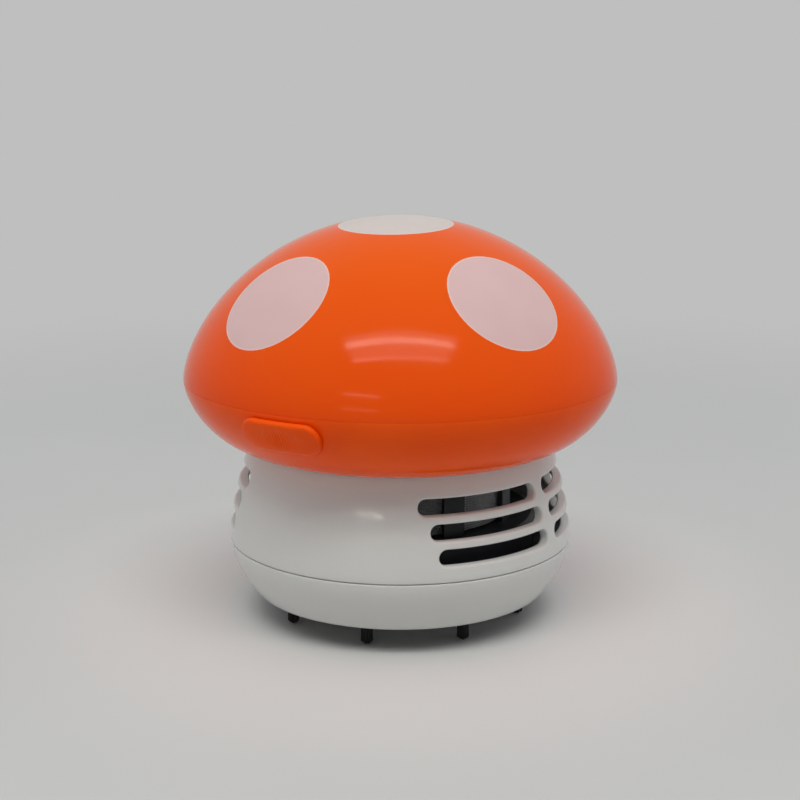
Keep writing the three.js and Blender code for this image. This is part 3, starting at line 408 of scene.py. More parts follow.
# %% Running a geometry tree on a piece
def begin_tree(name, inputs):
    """A geometry tree with named inputs, given as a dictionary of name to (kind, default)."""
    tree = bpy.data.node_groups.new(name, "GeometryNodeTree")
    tree.interface.new_socket("Geometry", in_out="INPUT", socket_type="NodeSocketGeometry")
    for label, (kind, default) in inputs.items():
        socket = tree.interface.new_socket(label, in_out="INPUT", socket_type="NodeSocket" + kind)
        if default is not None:
            socket.default_value = default
    tree.interface.new_socket("Geometry", in_out="OUTPUT", socket_type="NodeSocketGeometry")
    return tree, tree.nodes.new("NodeGroupInput").outputs


def end_tree(tree, geometry, material):
    """Ends a tree with real geometry in one finish."""
    real = shaped(tree, "RealizeInstances", {"Geometry": geometry})
    dressed = shaped(tree, "SetMaterial", {"Geometry": real, "Material": material})
    node(tree, "NodeGroupOutput", {"Geometry": dressed})


def run_tree(obj, tree, values):
    """Runs a tree on an object and leaves the result as a plain mesh."""
    modifier = obj.modifiers.new(tree.name, "NODES")
    modifier.node_group = tree
    for item in tree.interface.items_tree:
        if item.in_out == "INPUT" and item.name in values:
            modifier[item.identifier] = values[item.name]
    flatten(obj)
    return obj


def flatten(obj):
    """Replaces an object's mesh by what its modifiers make of it."""
    bpy.context.view_layer.update()
    depsgraph = bpy.context.evaluated_depsgraph_get()
    mesh = bpy.data.meshes.new_from_object(obj.evaluated_get(depsgraph))
    mesh.name = obj.name
    old = obj.data
    obj.modifiers.clear()
    obj.data = mesh
    bpy.data.meshes.remove(old)


# %% Objects from points
def new_object(name, vertices, edges=(), faces=()):
    """A linked mesh object."""
    mesh = bpy.data.meshes.new(name)
    mesh.from_pydata([tuple(vertex) for vertex in vertices], list(edges), list(faces))
    obj = bpy.data.objects.new(name, mesh)
    bpy.context.scene.collection.objects.link(obj)
    return obj


def built(name, shape, material):
    """A linked object that takes over a mesh under construction."""
    obj = new_object(name, [])
    shape.to_mesh(obj.data)
    shape.free()
    obj.data.materials.append(material)
    return obj


def faced_outwards(obj):
    """Turns a closed mesh the right way out."""
    shape = bmesh.new()
    shape.from_mesh(obj.data)
    if shape.calc_volume(signed=True) < 0:
        bmesh.ops.reverse_faces(shape, faces=shape.faces)
    shape.to_mesh(obj.data)
    shape.free()
    return obj


def smooth(obj, sharp=40):
    """Smooth shading, with edges kept where the surface turns by more than this many degrees."""
    obj.data.shade_smooth()
    obj.data.set_sharp_from_angle(angle=math.radians(sharp))
    return obj


# %% The tree that turns an outline
WELD = 0.001 * MM


def turning_tree():
    """A tree that sweeps an outline round a circle."""
    tree, given = begin_tree(
        "turned on the axis",
        {"Sides": ("Int", 64), "Radius": ("Float", 0.02), "Material": ("Material", None)},
    )
    parts = parts_of(tree, shaped(tree, "InputPosition"))
    across = sums(tree, "SUBTRACT", parts["X"], given["Radius"])
    flat = vector_of(tree, X=across, Y=sums(tree, "MULTIPLY", parts["Z"], -1.0))
    laid = shaped(tree, "SetPosition", {"Geometry": given["Geometry"], "Position": flat})
    outline = shaped(tree, "MeshToCurve", {"Mesh": laid})
    ring = shaped(tree, "CurvePrimitiveCircle", {"Resolution": given["Sides"], "Radius": given["Radius"]})
    swept = shaped(tree, "CurveToMesh", {"Curve": ring, "Profile Curve": outline})
    welded = shaped(tree, "MergeByDistance", {"Geometry": swept, "Distance": WELD})
    end_tree(tree, welded, given["Material"])
    return tree


TURNING = turning_tree()
SHELL_SIDES = 160


def turned(name, outline, material, sides=SHELL_SIDES, closed=True):
    """A round piece from an outline of (radius, height) points."""
    points = [(point[0], 0.0, point[1]) for point in outline]
    edges = [(i, i + 1) for i in range(len(points) - 1)]
    if closed:
        edges.append((len(points) - 1, 0))
    obj = new_object(name, points, edges)
    reach = max(point[0] for point in outline)
    run_tree(obj, TURNING, {"Sides": sides, "Radius": reach, "Material": material})
    return smooth(faced_outwards(obj))


# %% [markdown]
# ### The dome
#
# The dome is one blown-up curve: full at the shoulder and flatter at the crown. The curve is a circle's
# sine raised to a power, so one number sets how full it is. The inner curve is the same one, a wall
# thinner, and the rim between them has softened edges as any moulded part has.

# %% Make the dome
DOME_FULLNESS = 1.59
DOME_EDGE = 0.04 * MM
FINE_STEPS = 300


def dome_curve(inset):
    """The dome's curve from the rim to the crown, a way inside its outer skin."""
    points = []
    for i in range(FINE_STEPS + 1):
        angle = math.pi / 2 * i / FINE_STEPS
        across = (cap_radius - inset) * math.cos(angle) if i < FINE_STEPS else 0.0
        rise = (crown - cap_seam - inset) * math.sin(angle) ** (2 / DOME_FULLNESS)
        points.append((across, cap_seam + rise))
    return points


dome_rim = cap_seam + SEAM_GAP / 2
outer = evenly([p for p in dome_curve(0) if p[1] >= dome_rim], 64)
inner = evenly([p for p in dome_curve(WALL) if p[1] >= dome_rim], 28)
outer[0].y = dome_rim
inner[0].y = dome_rim
outline = list(reversed(outer)) + inner
dome = turned("dome", softened(outline, DOME_EDGE, closed=False), cap_finish, closed=False)
hand_over(dome, "dome", "orange_plastic", "cap_dome")

# %% [markdown]
# ## Solids that are added and cut
#
# Supports, windows and screw holes are simplest as solids that are joined to a piece or cut out of it. The
# Boolean modifier does both. Small blocks and posts get softened edges first, since a moulded edge always
# catches a thin line of light.


# %% Blocks, posts and booleans
SOFT_EDGE = 0.2 * MM
FINE_EDGE = 0.15 * MM
ROUND_EDGE = 0.3 * MM


def block(name, low, high, material, edge=SOFT_EDGE):
    """A box between two corners, with softened edges."""
    shape = bmesh.new()
    bmesh.ops.create_cube(shape, size=1)
    for vertex in shape.verts:
        for axis in range(3):
            middle = (low[axis] + high[axis]) / 2
            vertex.co[axis] = middle + vertex.co[axis] * (high[axis] - low[axis])
    if edge:
        bmesh.ops.bevel(
            shape, geom=shape.edges[:], offset=edge, segments=2, profile=0.5, affect="EDGES"
        )
    return smooth(faced_outwards(built(name, shape, material)))


def post(name, radius, low, high, at, material, sides=48, edge=SOFT_EDGE):
    """An upright post with softened ends."""
    outline = [(0, high), (radius, high), (radius, low), (0, low)]
    if edge:
        outline = softened(outline, edge, closed=False)
    obj = turned(name, outline, material, sides=sides, closed=False)
    obj.data.transform(Matrix.Translation((at[0], at[1], 0)))
    return obj


def slab(name, outline, low, high, material, edge=SOFT_EDGE):
    """A flat outline of (x, y) points raised between two heights, with softened rims."""
    shape = bmesh.new()
    ring = [shape.verts.new((point[0], point[1], low)) for point in outline]
    face = shape.faces.new(ring)
    raised = bmesh.ops.extrude_face_region(shape, geom=[face])["geom"]
    bmesh.ops.translate(
        shape, verts=[v for v in raised if isinstance(v, bmesh.types.BMVert)], vec=(0, 0, high - low)
    )
    bmesh.ops.recalc_face_normals(shape, faces=shape.faces)
    if edge:
        rims = [e for e in shape.edges if abs(e.verts[0].co.z - e.verts[1].co.z) < SAME_POINT]
        bmesh.ops.bevel(shape, geom=rims, offset=edge, segments=2, profile=0.5, affect="EDGES")
    return smooth(faced_outwards(built(name, shape, material)))


def combined(obj, others, operation="UNION"):
    """Adds closed solids to a piece, cuts them out of it, or keeps what is inside them."""
    for other in others:
        modifier = obj.modifiers.new("solid", "BOOLEAN")
        modifier.operation = operation
        modifier.solver = "MANIFOLD"
        modifier.object = other
    flatten(obj)
    for other in others:
        bpy.data.objects.remove(other, do_unlink=True)
    return smooth(obj)


def sector(name, inner, outer, first, last, low, high, material, edge=FINE_EDGE, step=2.0):
    """Part of a ring between two radii, two turns and two heights."""
    count = max(2, round((last - first) / step))
    turns = [first + (last - first) * i / count for i in range(count + 1)]
    outline = [on_turn(outer, turn).xy for turn in turns]
    outline += [on_turn(inner, turn).xy for turn in reversed(turns)]
    return slab(name, outline, low, high, material, edge)


# %% [markdown]
# ### The dish
#
# The dish is the lower half of the cap. It curves in from the seam to a socket for the stem, and a thin lip
# inside its rim keeps the dome in place. Its outline is turned as the dome's is. Then it gets the bosses
# that its screws go into, a cradle for the slide switch, and a window for the knob's neck.

# %% Make the dish
DISH_FLAT_RADIUS = 28 * MM
DISH_FULLNESS = 1.6
DISH_DEPTH = 13.9 * MM
LIP_OUTER = 41 * MM
LIP_WALL = 1.1 * MM
SOCKET_RADIUS = 31.2 * MM
SOCKET_TOP = 36.1 * MM
FLOOR_TOP = SOCKET_TOP + FLOOR_WALL
MOTOR_OPENING = 10.6 * MM
LIP_DEPTH = 2.4 * MM  # the foot of the lip below the seam
DISH_EDGE = 0.05 * MM


def dish_radius(height, grown=0.0):
    """The radius of the dish at a height, on a skin grown outwards by a little."""
    depth = DISH_DEPTH + grown
    share = min(1.0, max(0.0, (cap_seam - height) / depth))
    across = math.sqrt(1 - min(1.0, share ** (DISH_FULLNESS / 2)) ** 2)
    return DISH_FLAT_RADIUS + (cap_radius + grown - DISH_FLAT_RADIUS) * across


def dish_curve(grown, depth):
    """Points (radius, height) from the seam down to the flat middle of the dish."""
    points = []
    for i in range(FINE_STEPS + 1):
        angle = math.pi / 2 * i / FINE_STEPS
        across = DISH_FLAT_RADIUS + (cap_radius + grown - DISH_FLAT_RADIUS) * math.cos(angle)
        points.append((across, cap_seam - depth * math.sin(angle) ** (2 / DISH_FULLNESS)))
    return points


dish_rim = cap_seam - SEAM_GAP / 2
lip_foot = cap_seam - LIP_DEPTH
outside = evenly([p for p in dish_curve(0, DISH_DEPTH) if p[1] <= dish_rim and p[0] >= SOCKET_RADIUS], 30)
outside[0].y = dish_rim
inner_depth = cap_seam - FLOOR_TOP
inside = evenly([p for p in dish_curve(-WALL, inner_depth) if p[1] <= lip_foot], 20)
outline = outside + [
    (SOCKET_RADIUS, SOCKET_TOP),
    (MOTOR_OPENING, SOCKET_TOP),
    (MOTOR_OPENING, FLOOR_TOP),
    *reversed(inside),
    (LIP_OUTER - LIP_WALL, lip_foot + LIP_WALL),
    (LIP_OUTER - LIP_WALL, lip_top),
    (LIP_OUTER, lip_top),
    (LIP_OUTER, dish_rim),
]
dish = turned("dish", softened(outline, DISH_EDGE), orange_painted_brighter_finish)
print("dish, before its supports: %d faces" % len(dish.data.polygons))

# %% Add the supports inside the dish
SCREW_HOLE = 1.4 * MM
HEAD_HEIGHT = 1.4 * MM  # of every screw
BOSS_RADIUS = 2.6 * MM
CLAMP_BOSS_HEIGHT = 2.2 * MM
CRADLE_WALL = 1.3 * MM
RIM_GAP = 0.3 * MM
NECK_HALF = 2.8 * MM
NECK_HALF_HEIGHT = 1.4 * MM
tray_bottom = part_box("battery_tray")[0].z
clamp_boss_top = FLOOR_TOP + CLAMP_BOSS_HEIGHT
tray_screws = [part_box("tray_screw_%d" % i) for i in (1, 2, 3)]
clamp_screws = [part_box("clamp_screw_%d" % i) for i in (1, 2)]
stem_screws = [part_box("stem_screw_%d" % i) for i in (1, 2)]


def middle_of(corners):
    """The middle of a box."""
    return (corners[0] + corners[1]) / 2


switch_low, switch_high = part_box("slide_switch_case")
switch_height = middle_of((switch_low, switch_high)).z
supports = [
    post("boss", BOSS_RADIUS, SOCKET_TOP, tray_bottom - RIM_GAP, middle_of(at), orange_painted_brighter_finish)
    for at in tray_screws
]
supports += [
    post("boss", BOSS_RADIUS, SOCKET_TOP, clamp_boss_top, middle_of(at), orange_painted_brighter_finish)
    for at in clamp_screws
]
cradle_top = switch_height + NECK_HALF_HEIGHT
for left, right in (
    (switch_low.x - RIM_GAP - CRADLE_WALL, switch_low.x - RIM_GAP),
    (switch_high.x + RIM_GAP, switch_high.x + RIM_GAP + CRADLE_WALL),
):
    low = (left, switch_low.y, SOCKET_TOP)
    supports.append(block("cradle", low, (right, switch_high.y + RIM_GAP, cradle_top), orange_painted_brighter_finish))
low = (switch_low.x - MM, switch_low.y, SOCKET_TOP)
high = (switch_high.x + MM, switch_high.y + RIM_GAP, switch_low.z - RIM_GAP)
supports.append(block("shelf", low, high, orange_painted_brighter_finish))
inside_skin = [p for p in evenly(dish_curve(-WALL / 2, DISH_DEPTH - WALL / 2), 40) if p[1] > SOCKET_TOP]
filled = turned("filled", [(0, dish_rim), *inside_skin, (0, SOCKET_TOP)], orange_painted_brighter_finish, closed=False)
bosses = combined(supports[0], supports[1:])
combined(bosses, [filled], "INTERSECT")
combined(dish, [bosses])
print("dish, with its supports: %d faces" % len(dish.data.polygons))

# %% Cut the window and the screw holes
RUN_GAP = 0.5 * MM
SWITCH_TRAVEL = 3 * MM
# The window leaves the knob's neck its travel to the right.
window_left = -NECK_HALF - RUN_GAP
window_right = NECK_HALF + SWITCH_TRAVEL + 2 * RUN_GAP
low = (window_left, -cap_radius - WALL, switch_height - NECK_HALF_HEIGHT - RUN_GAP)
high = (window_right, switch_low.y, switch_height + NECK_HALF_HEIGHT + RUN_GAP)
cutters = [block("window", low, high, orange_painted_brighter_finish, edge=0)]
# A pilot hole ends just under its screw's tip, so that it never comes out through the curved wall.
for at in tray_screws + clamp_screws:
    tip = at[0].z - RIM_GAP
    cutters.append(post("pilot", SCREW_HOLE, tip, cap_seam, middle_of(at), orange_painted_brighter_finish, edge=0))
for at in stem_screws:
    low = SOCKET_TOP - WALL
    cutters.append(post("hole", SCREW_HOLE, low, FLOOR_TOP + WALL, middle_of(at), orange_painted_brighter_finish, edge=0))
combined(dish, cutters, "DIFFERENCE")
hand_over(dish, "housing", "orange_plastic", "cap_dish")

# %% [markdown]
# ### The switch knob
#
# The knob is a rounded pad that hugs the dish. Its face is dished for a fingertip, with fine upright ribs
# in the middle. The pad is easiest to draw flat, as heights over a plane: an outline with rounded edges,
# less a shallow bowl, plus the ribs. A Delaunay net fills the face with triangles that respect the outline.
# At the end every point is wrapped on to the dish, so the pad follows it exactly.


# %% Outlines of rounded bars, and a flat net inside outlines
def bar_outline(half_length, half_height, corner, straight_steps, corner_steps=8):
    """The outline of a rounded bar round its middle, as (along, up) points."""
    points = []
    for sign_x, sign_y, start in ((1, 1, 0), (-1, 1, 90), (-1, -1, 180), (1, -1, 270)):
        middle = Vector((sign_x * (half_length - corner), sign_y * (half_height - corner)))
        for i in range(corner_steps + 1):
            angle = math.radians(start + 90 * i / corner_steps)
            points.append(middle + corner * Vector((math.cos(angle), math.sin(angle))))
        if sign_x * sign_y > 0:
            for i in range(1, straight_steps):
                along = middle.x * (1 - 2 * i / straight_steps)
                points.append(Vector((along, sign_y * half_height)))
    kept = [point for i, point in enumerate(points) if (point - points[i - 1]).length > SAME_POINT]
    return kept


def outside_bar(point, half_length, half_height, corner):
    """How far a point is outside a rounded bar; less than zero means inside."""
    away_x = abs(point.x) - (half_length - corner)
    away_y = abs(point.y) - (half_height - corner)
    outer = math.hypot(max(away_x, 0.0), max(away_y, 0.0))
    return outer + min(max(away_x, away_y), 0.0) - corner


def flat_net(points, rings):
    """Triangles between flat points, with each ring of point numbers kept as edges."""
    edges = [(ring[i - 1], ring[i]) for ring in rings for i in range(len(ring))]
    # The net works in millimetres, as its own tolerance is too coarse for metres.
    scaled = [point / MM for point in points]
    result = delaunay_2d_cdt(scaled, edges, [], 0, 1e-5, True)
    back = [origin[0] if origin else None for origin in result[3]]
    return [tuple(back[i] for i in face) for face in result[2] if None not in [back[i] for i in face]]


# %% Make the knob's pad flat and wrap it on the dish
PAD_HALF_LENGTH = 8.45 * MM
PAD_ASIDE = 0.35 * MM  # the pad lies a little to the right of its neck
PAD_HALF_HEIGHT = 3.2 * MM
PAD_CORNER = 2.9 * MM
PAD_THICKNESS = 1.25 * MM
PAD_EDGE = 0.8 * MM
PAD_GAP = 0.3 * MM
PAD_DROP = 4.25 * MM  # cap seam down to the middle of the pad
BOWL_HALF_LENGTH = 6.2 * MM
BOWL_HALF_HEIGHT = 2.1 * MM
BOWL_DEPTH = 0.32 * MM
RIB_PITCH = 0.62 * MM
RIB_HEIGHT = 0.09 * MM
RIBBED_HALF_LENGTH = 3.4 * MM
NET_ALONG = RIB_PITCH / 6
NET_UP = 0.3 * MM
EDGE_RINGS = 5
PAD_STRAIGHT_STEPS = 28
NET_MARGIN = 0.12 * MM


def pad_face(point):
    """The height of the pad's face over its back, away from its rounded edges."""
    reach = (point.x / BOWL_HALF_LENGTH) ** 2 + (point.y / BOWL_HALF_HEIGHT) ** 2
    if reach >= 1:
        return PAD_THICKNESS
    bowl = BOWL_DEPTH * (1 - reach) ** 1.3
    ribbed = max(0.0, 1 - (point.x / RIBBED_HALF_LENGTH) ** 2) * (1 - reach)
    rib = RIB_HEIGHT * math.sqrt(ribbed) * (1 + math.cos(2 * math.pi * point.x / RIB_PITCH))
    return PAD_THICKNESS - bowl + rib


def on_dish(along, up, lift):
    """A point of the flat pad, wrapped on the dish."""
    height = cap_seam - PAD_DROP + up
    radius = dish_radius(height, PAD_GAP + lift)
    return on_turn(radius, math.degrees((along + PAD_ASIDE) / cap_radius), height)


def make_pad():
    """The knob's pad, closed all round and wrapped on the dish."""
    flat = []
    lifts = []
    rings = []
    for k in range(EDGE_RINGS + 1):
        angle = math.pi / 2 * k / EDGE_RINGS
        inset = PAD_EDGE * (1 - math.cos(angle))
        ring = bar_outline(
            PAD_HALF_LENGTH - inset, PAD_HALF_HEIGHT - inset, PAD_CORNER - inset, PAD_STRAIGHT_STEPS
        )
        rings.append(list(range(len(flat), len(flat) + len(ring))))
        flat += ring
        lifts += [PAD_THICKNESS - PAD_EDGE * (1 - math.sin(angle))] * len(ring)
    inner = (PAD_HALF_LENGTH - PAD_EDGE, PAD_HALF_HEIGHT - PAD_EDGE, PAD_CORNER - PAD_EDGE)
    columns = int(PAD_HALF_LENGTH / NET_ALONG)
    rows = int(PAD_HALF_HEIGHT / NET_UP)
    for i in range(-columns, columns + 1):
        if abs(i * NET_ALONG) > RIBBED_HALF_LENGTH and i % 3:
            continue
        for j in range(-rows, rows + 1):
            point = Vector((i * NET_ALONG, j * NET_UP))
            if outside_bar(point, *inner) < -NET_MARGIN:
                flat.append(point)
                lifts.append(pad_face(point))
    face_net = flat_net(flat, [rings[-1]])
    last = rings[-1][0]
    top = [face for face in face_net if min(face) >= last]
    faces = list(top)
    for lower, upper in zip(rings, rings[1:]):
        for i in range(len(lower)):
            faces.append((lower[i - 1], lower[i], upper[i], upper[i - 1]))
    # The back is the same net pressed flat, so the two always meet.
    count = len(flat)
    lifts += [0.0] * count
    faces += [tuple(count + i for i in reversed(face)) for face in list(faces)]
    outer = rings[0]
    for i in range(len(outer)):
        faces.append((outer[i], outer[i - 1], count + outer[i - 1], count + outer[i]))
    flat = flat + flat
    vertices = [on_dish(point.x, point.y, lift) for point, lift in zip(flat, lifts)]
    obj = new_object("knob", vertices, (), faces)
    obj.data.materials.append(knob_painted_brighter_finish)
    shape = bmesh.new()
    shape.from_mesh(obj.data)
    bmesh.ops.recalc_face_normals(shape, faces=shape.faces)
    shape.to_mesh(obj.data)
    shape.free()
    return faced_outwards(obj)


knob = make_pad()
neck_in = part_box("switch_knob")[1].y
LEVER_GAP = 0.4 * MM
FORK_DEPTH = 3.4 * MM
pocket_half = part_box("slide_switch_lever")[1].x + LEVER_GAP
pad_back = -dish_radius(switch_height, PAD_GAP + PAD_THICKNESS / 2) + PAD_THICKNESS / 4
neck = block(
    "neck",
    (-NECK_HALF, pad_back, switch_height - NECK_HALF_HEIGHT),
    (NECK_HALF, neck_in, switch_height + NECK_HALF_HEIGHT),
    knob_painted_brighter_finish,
)
combined(knob, [neck])
pocket = block(
    "pocket",
    (-pocket_half, neck_in - FORK_DEPTH, switch_height - WALL),
    (pocket_half, neck_in + WALL, switch_height + WALL),
    knob_painted_brighter_finish,
    edge=0,
)
combined(knob, [pocket], "DIFFERENCE")
hand_over(knob, "knob", "orange_plastic", "switch_knob")

# %% [markdown]
# ### The stem
#
# The stem is a tapered wall pierced by twelve long vent slots with softened lips. Cutting such slots out of
# a round wall with booleans leaves ragged shading, so the wall is unrolled instead. On the flat sheet the
# slots are plain rounded bars. A net fills the sheet around them, a few rings round each slot become its
# rounded lip, and the whole sheet is rolled back to the round. The inner skin is the same sheet again.

# %% Sizes of the stem's wall and slots
NECK_RADIUS = 30.7 * MM
STEM_FULLNESS = 1.55
SLOT_PITCH = 4.7 * MM
SLOT_HALF_HEIGHT = 1.6 * MM
SLOT_LIP = 0.42 * MM
LIP_RINGS = 4
SLOT_POST = 2.6  # degrees from the middle of a post to the slots beside it
# For each row, from below: the turn of its front end and the turn of its post.
SLOT_ROWS = ((43, 90), (40.5, 88.5), (36.5, 86.7))
SHEET_TURN = 2.0  # degrees between the columns of the sheet
SHEET_RISE = 1.0 * MM
WALL_EDGE = 0.25 * MM
SLOT_MARGIN = 0.3 * MM  # left free round a lip when the sheet is filled
SLOT_SLACK = 0.02 * MM
SAME_HEIGHT = MM / 1000


def stem_radius(height):
    """The stem narrows from its foot to the neck."""
    share = min(1.0, max(0.0, (height - stem_bottom) / (stem_top - stem_bottom)))
    return foot_radius - (foot_radius - NECK_RADIUS) * share**STEM_FULLNESS


def stem_slots():
    """Each slot's middle turn, middle height and half length."""
    slots = []
    for row, (front, post_turn) in enumerate(SLOT_ROWS):
        height = base_seam + SLOT_PITCH * (row + 1)
        for first, last in ((front, post_turn - SLOT_POST), (post_turn + SLOT_POST, 180 - front)):
            middle = (first + last) / 2
            half_length = math.radians(last - first) / 2 * stem_radius(height)
            slots.append((middle, height, half_length))
            slots.append((-middle, height, half_length))
    return slots


# %% Unroll the wall, pierce it and roll it up
def make_stem_wall():
    """The stem's pierced wall, closed on all sides, as a mesh."""
    sheet_radius = foot_radius
    top_row = stem_top - WALL_EDGE
    foot = stem_bottom - FINER_SEAM
    columns = round(360 / SHEET_TURN)
    rows = round((top_row - foot - WALL_EDGE) / SHEET_RISE)
    slots = stem_slots()
    flat = []
    places = []
    rims = []

    def add(turn, height):
        """Put one point on the flat sheet."""
        flat.append(Vector((math.radians(turn) * sheet_radius, height)))
        places.append((turn, height))

    def inside_slot(turn, height, grown):
        """Whether a point lies in a slot that is grown all round."""
        for middle, level, half_length in slots:
            along = math.radians(turn - middle) * stem_radius(level)
            far = outside_bar(
                Vector((along, height - level)), half_length, SLOT_HALF_HEIGHT, SLOT_HALF_HEIGHT
            )
            if far < grown:
                return True
        return False

    for i in range(columns + 1):
        for j in range(rows + 1):
            turn = -180 + 360 * i / columns
            height = foot + WALL_EDGE + (top_row - foot - WALL_EDGE) * j / rows
            if not inside_slot(turn, height, SLOT_LIP + SLOT_MARGIN):
                add(turn, height)
    lips = []
    for middle, level, half_length in slots:
        rings = []
        straight_steps = round(2 * (half_length - SLOT_HALF_HEIGHT) / SHEET_RISE)
        for k in range(LIP_RINGS + 1):
            angle = math.pi / 2 * k / LIP_RINGS
            grown = SLOT_LIP * (1 - math.sin(angle))
            outline = bar_outline(
                half_length + grown, SLOT_HALF_HEIGHT + grown, SLOT_HALF_HEIGHT + grown, straight_steps
            )
            turned_points = [
                (middle + math.degrees(point.x / stem_radius(level)), level + point.y) for point in outline
            ]
            rings.append((turned_points, SLOT_LIP * (1 - math.cos(angle))))
        first = len(flat)
        for turn, height in rings[0][0]:
            add(turn, height)
        rims.append(list(range(first, len(flat))))
        lips.append(rings)
    net = flat_net(flat, rims)

    def middle_place(face):
        """The turn and height in the middle of a triangle."""
        turn = sum(places[i][0] for i in face) / 3
        return turn, sum(places[i][1] for i in face) / 3

    net = [face for face in net if not inside_slot(*middle_place(face), SLOT_LIP - SLOT_SLACK)]

    def rolled(turn, height, depth):
        """A point of the sheet, rolled round the stem and sunk into its wall."""
        return on_turn(stem_radius(height) - depth, turn, height)

    vertices = [rolled(turn, height, 0.0) for turn, height in places]
    count = len(vertices)
    vertices += [rolled(turn, height, WALL) for turn, height in places]
    faces = list(net) + [tuple(count + i for i in reversed(face)) for face in net]
    # Each slot's lip goes round from the outer skin, through the wall, to the inner skin.
    for rim, rings in zip(rims, lips):
        through = rings[1:] + [(points, WALL - depth) for points, depth in reversed(rings[1:])]
        last = rim
        for points, depth in through:
            first = len(vertices)
            vertices += [rolled(turn, height, depth) for turn, height in points]
            ring = list(range(first, len(vertices)))
            for i in range(len(ring)):
                faces.append((last[i - 1], last[i], ring[i], ring[i - 1]))
            last = ring
        inner_rim = [count + i for i in rim]
        for i in range(len(rim)):
            faces.append((last[i - 1], last[i], inner_rim[i], inner_rim[i - 1]))
    # The top and the foot are closed round a softened edge.
    for level, edge_height in ((foot + WALL_EDGE, foot), (top_row, stem_top)):
        row = [i for i in range(count) if abs(places[i][1] - level) < SAME_HEIGHT]
        row.sort(key=lambda i: places[i][0])
        last = row
        steps = 3
        for k in range(1, 2 * steps + 1):
            inward = k > steps
            angle = math.pi / 2 * (k - steps if inward else k) / steps
            if inward:
                depth = WALL - WALL_EDGE * (1 - math.sin(angle))
                height = edge_height + (level - edge_height) * (1 - math.cos(angle))
            else:
                depth = WALL_EDGE * (1 - math.cos(angle))
                height = level + (edge_height - level) * math.sin(angle)
            first = len(vertices)
            vertices += [
                on_turn(stem_radius(level) - depth, places[i][0], height) for i in row
            ]
            ring = list(range(first, len(vertices)))
            for i in range(1, len(ring)):
                faces.append((last[i - 1], last[i], ring[i], ring[i - 1]))
            last = ring
        inner_row = [count + i for i in row]
        for i in range(1, len(row)):
            faces.append((last[i - 1], last[i], inner_row[i], inner_row[i - 1]))
    obj = new_object("stem", vertices, (), faces)
    obj.data.materials.append(white_finish)
    shape = bmesh.new()
    shape.from_mesh(obj.data)
    bmesh.ops.remove_doubles(shape, verts=shape.verts, dist=SAME_HEIGHT)
    bmesh.ops.recalc_face_normals(shape, faces=shape.faces)
    open_edges = sum(1 for edge in shape.edges if len(edge.link_faces) != 2)
    print("stem wall: %d faces, %d open edges" % (len(shape.faces), open_edges))
    shape.to_mesh(obj.data)
    shape.free()
    return faced_outwards(obj)


stem = make_stem_wall()

# %% [markdown]
# ## Copies round the axis
#
# Hooks, lugs, cage ribs and fan blades all stand at even turns round the axis. One tree does them all: it
# makes as many points as asked for, turns a copy of the piece at each, and makes the copies real.


# %% The tree that sets copies round the axis
def copies_tree():
    """A tree that sets copies of a piece at even turns."""
    tree, given = begin_tree(
        "copies round the axis",
        {
            "Count": ("Int", 3),
            "First turn": ("Float", 0.0),
            "Step": ("Float", 1.0),
            "Material": ("Material", None),
        },
    )
    points = shaped(tree, "Points", {"Count": given["Count"]})
    number = shaped(tree, "InputIndex")
    turn = sums(tree, "ADD", given["First turn"], sums(tree, "MULTIPLY", number, given["Step"]))
    places = {"Points": points, "Instance": given["Geometry"], "Rotation": vector_of(tree, Z=turn)}
    end_tree(tree, shaped(tree, "InstanceOnPoints", places), given["Material"])
    return tree


COPIES = copies_tree()


def copied_round(obj, count, first, step, material):
    """Copies of a piece that was drawn at the front, at even turns in degrees."""
    values = {"Count": count, "First turn": math.radians(first), "Step": math.radians(step)}
    run_tree(obj, COPIES, {**values, "Material": material})
    return smooth(obj)


# %% Finish the stem: its top plate, the cup for the motor, screw bosses and bayonet hooks
plate_bottom = stem_top - FLOOR_WALL
can_low, can_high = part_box("motor_can")
CUP_RADIUS = 10.3 * MM
CUP_WALL = 1.6 * MM
CUP_DEPTH = 3.3 * MM
CUP_FLOOR = 1.3 * MM
NOSE_HOLE = 3.3 * MM
PLATE_STEP = 0.4 * MM
cup_floor_top = stem_top - CUP_DEPTH
plate_outline = [
    (NECK_RADIUS - WALL / 2, stem_top - PLATE_STEP),
    (NECK_RADIUS - WALL, stem_top),
    (CUP_RADIUS, stem_top),
    (CUP_RADIUS, cup_floor_top),
    (NOSE_HOLE, cup_floor_top),
    (NOSE_HOLE, cup_floor_top - CUP_FLOOR),
    (CUP_RADIUS + CUP_WALL, cup_floor_top - CUP_FLOOR),
    (CUP_RADIUS + CUP_WALL, plate_bottom),
    (NECK_RADIUS - WALL / 2, plate_bottom),
]
plate = turned("plate", softened(plate_outline, SOFT_EDGE), white_finish)
STEM_BOSS = 2.3 * MM
STEM_BOSS_LENGTH = 8.4 * MM
boss_low = plate_bottom - STEM_BOSS_LENGTH
added = [
    post("boss", STEM_BOSS, boss_low, plate_bottom + MM, middle_of(at), white_finish)
    for at in stem_screws
]
BAYONET_FIRST = 30
BAYONET_STEP = 120
HOOK_INNER = 31.3 * MM
HOOK_REACH = 8  # degrees to each side, as for the stops and the lugs
HOOK_HEIGHT = 1.15 * MM
STOP_REACH = 1.6
STOP_OVERLAP = 0.5
LUG_HEIGHT = 2.8 * MM
lug_top = base_seam + LUG_HEIGHT
hook_outer = foot_radius - WALL / 2
hook_top = stem_bottom + HOOK_HEIGHT
turns = (-HOOK_REACH, HOOK_REACH)
hook = sector("hook", HOOK_INNER, hook_outer, *turns, stem_bottom, hook_top, white_finish)
turns = (-HOOK_REACH - STOP_REACH, -HOOK_REACH + STOP_OVERLAP)
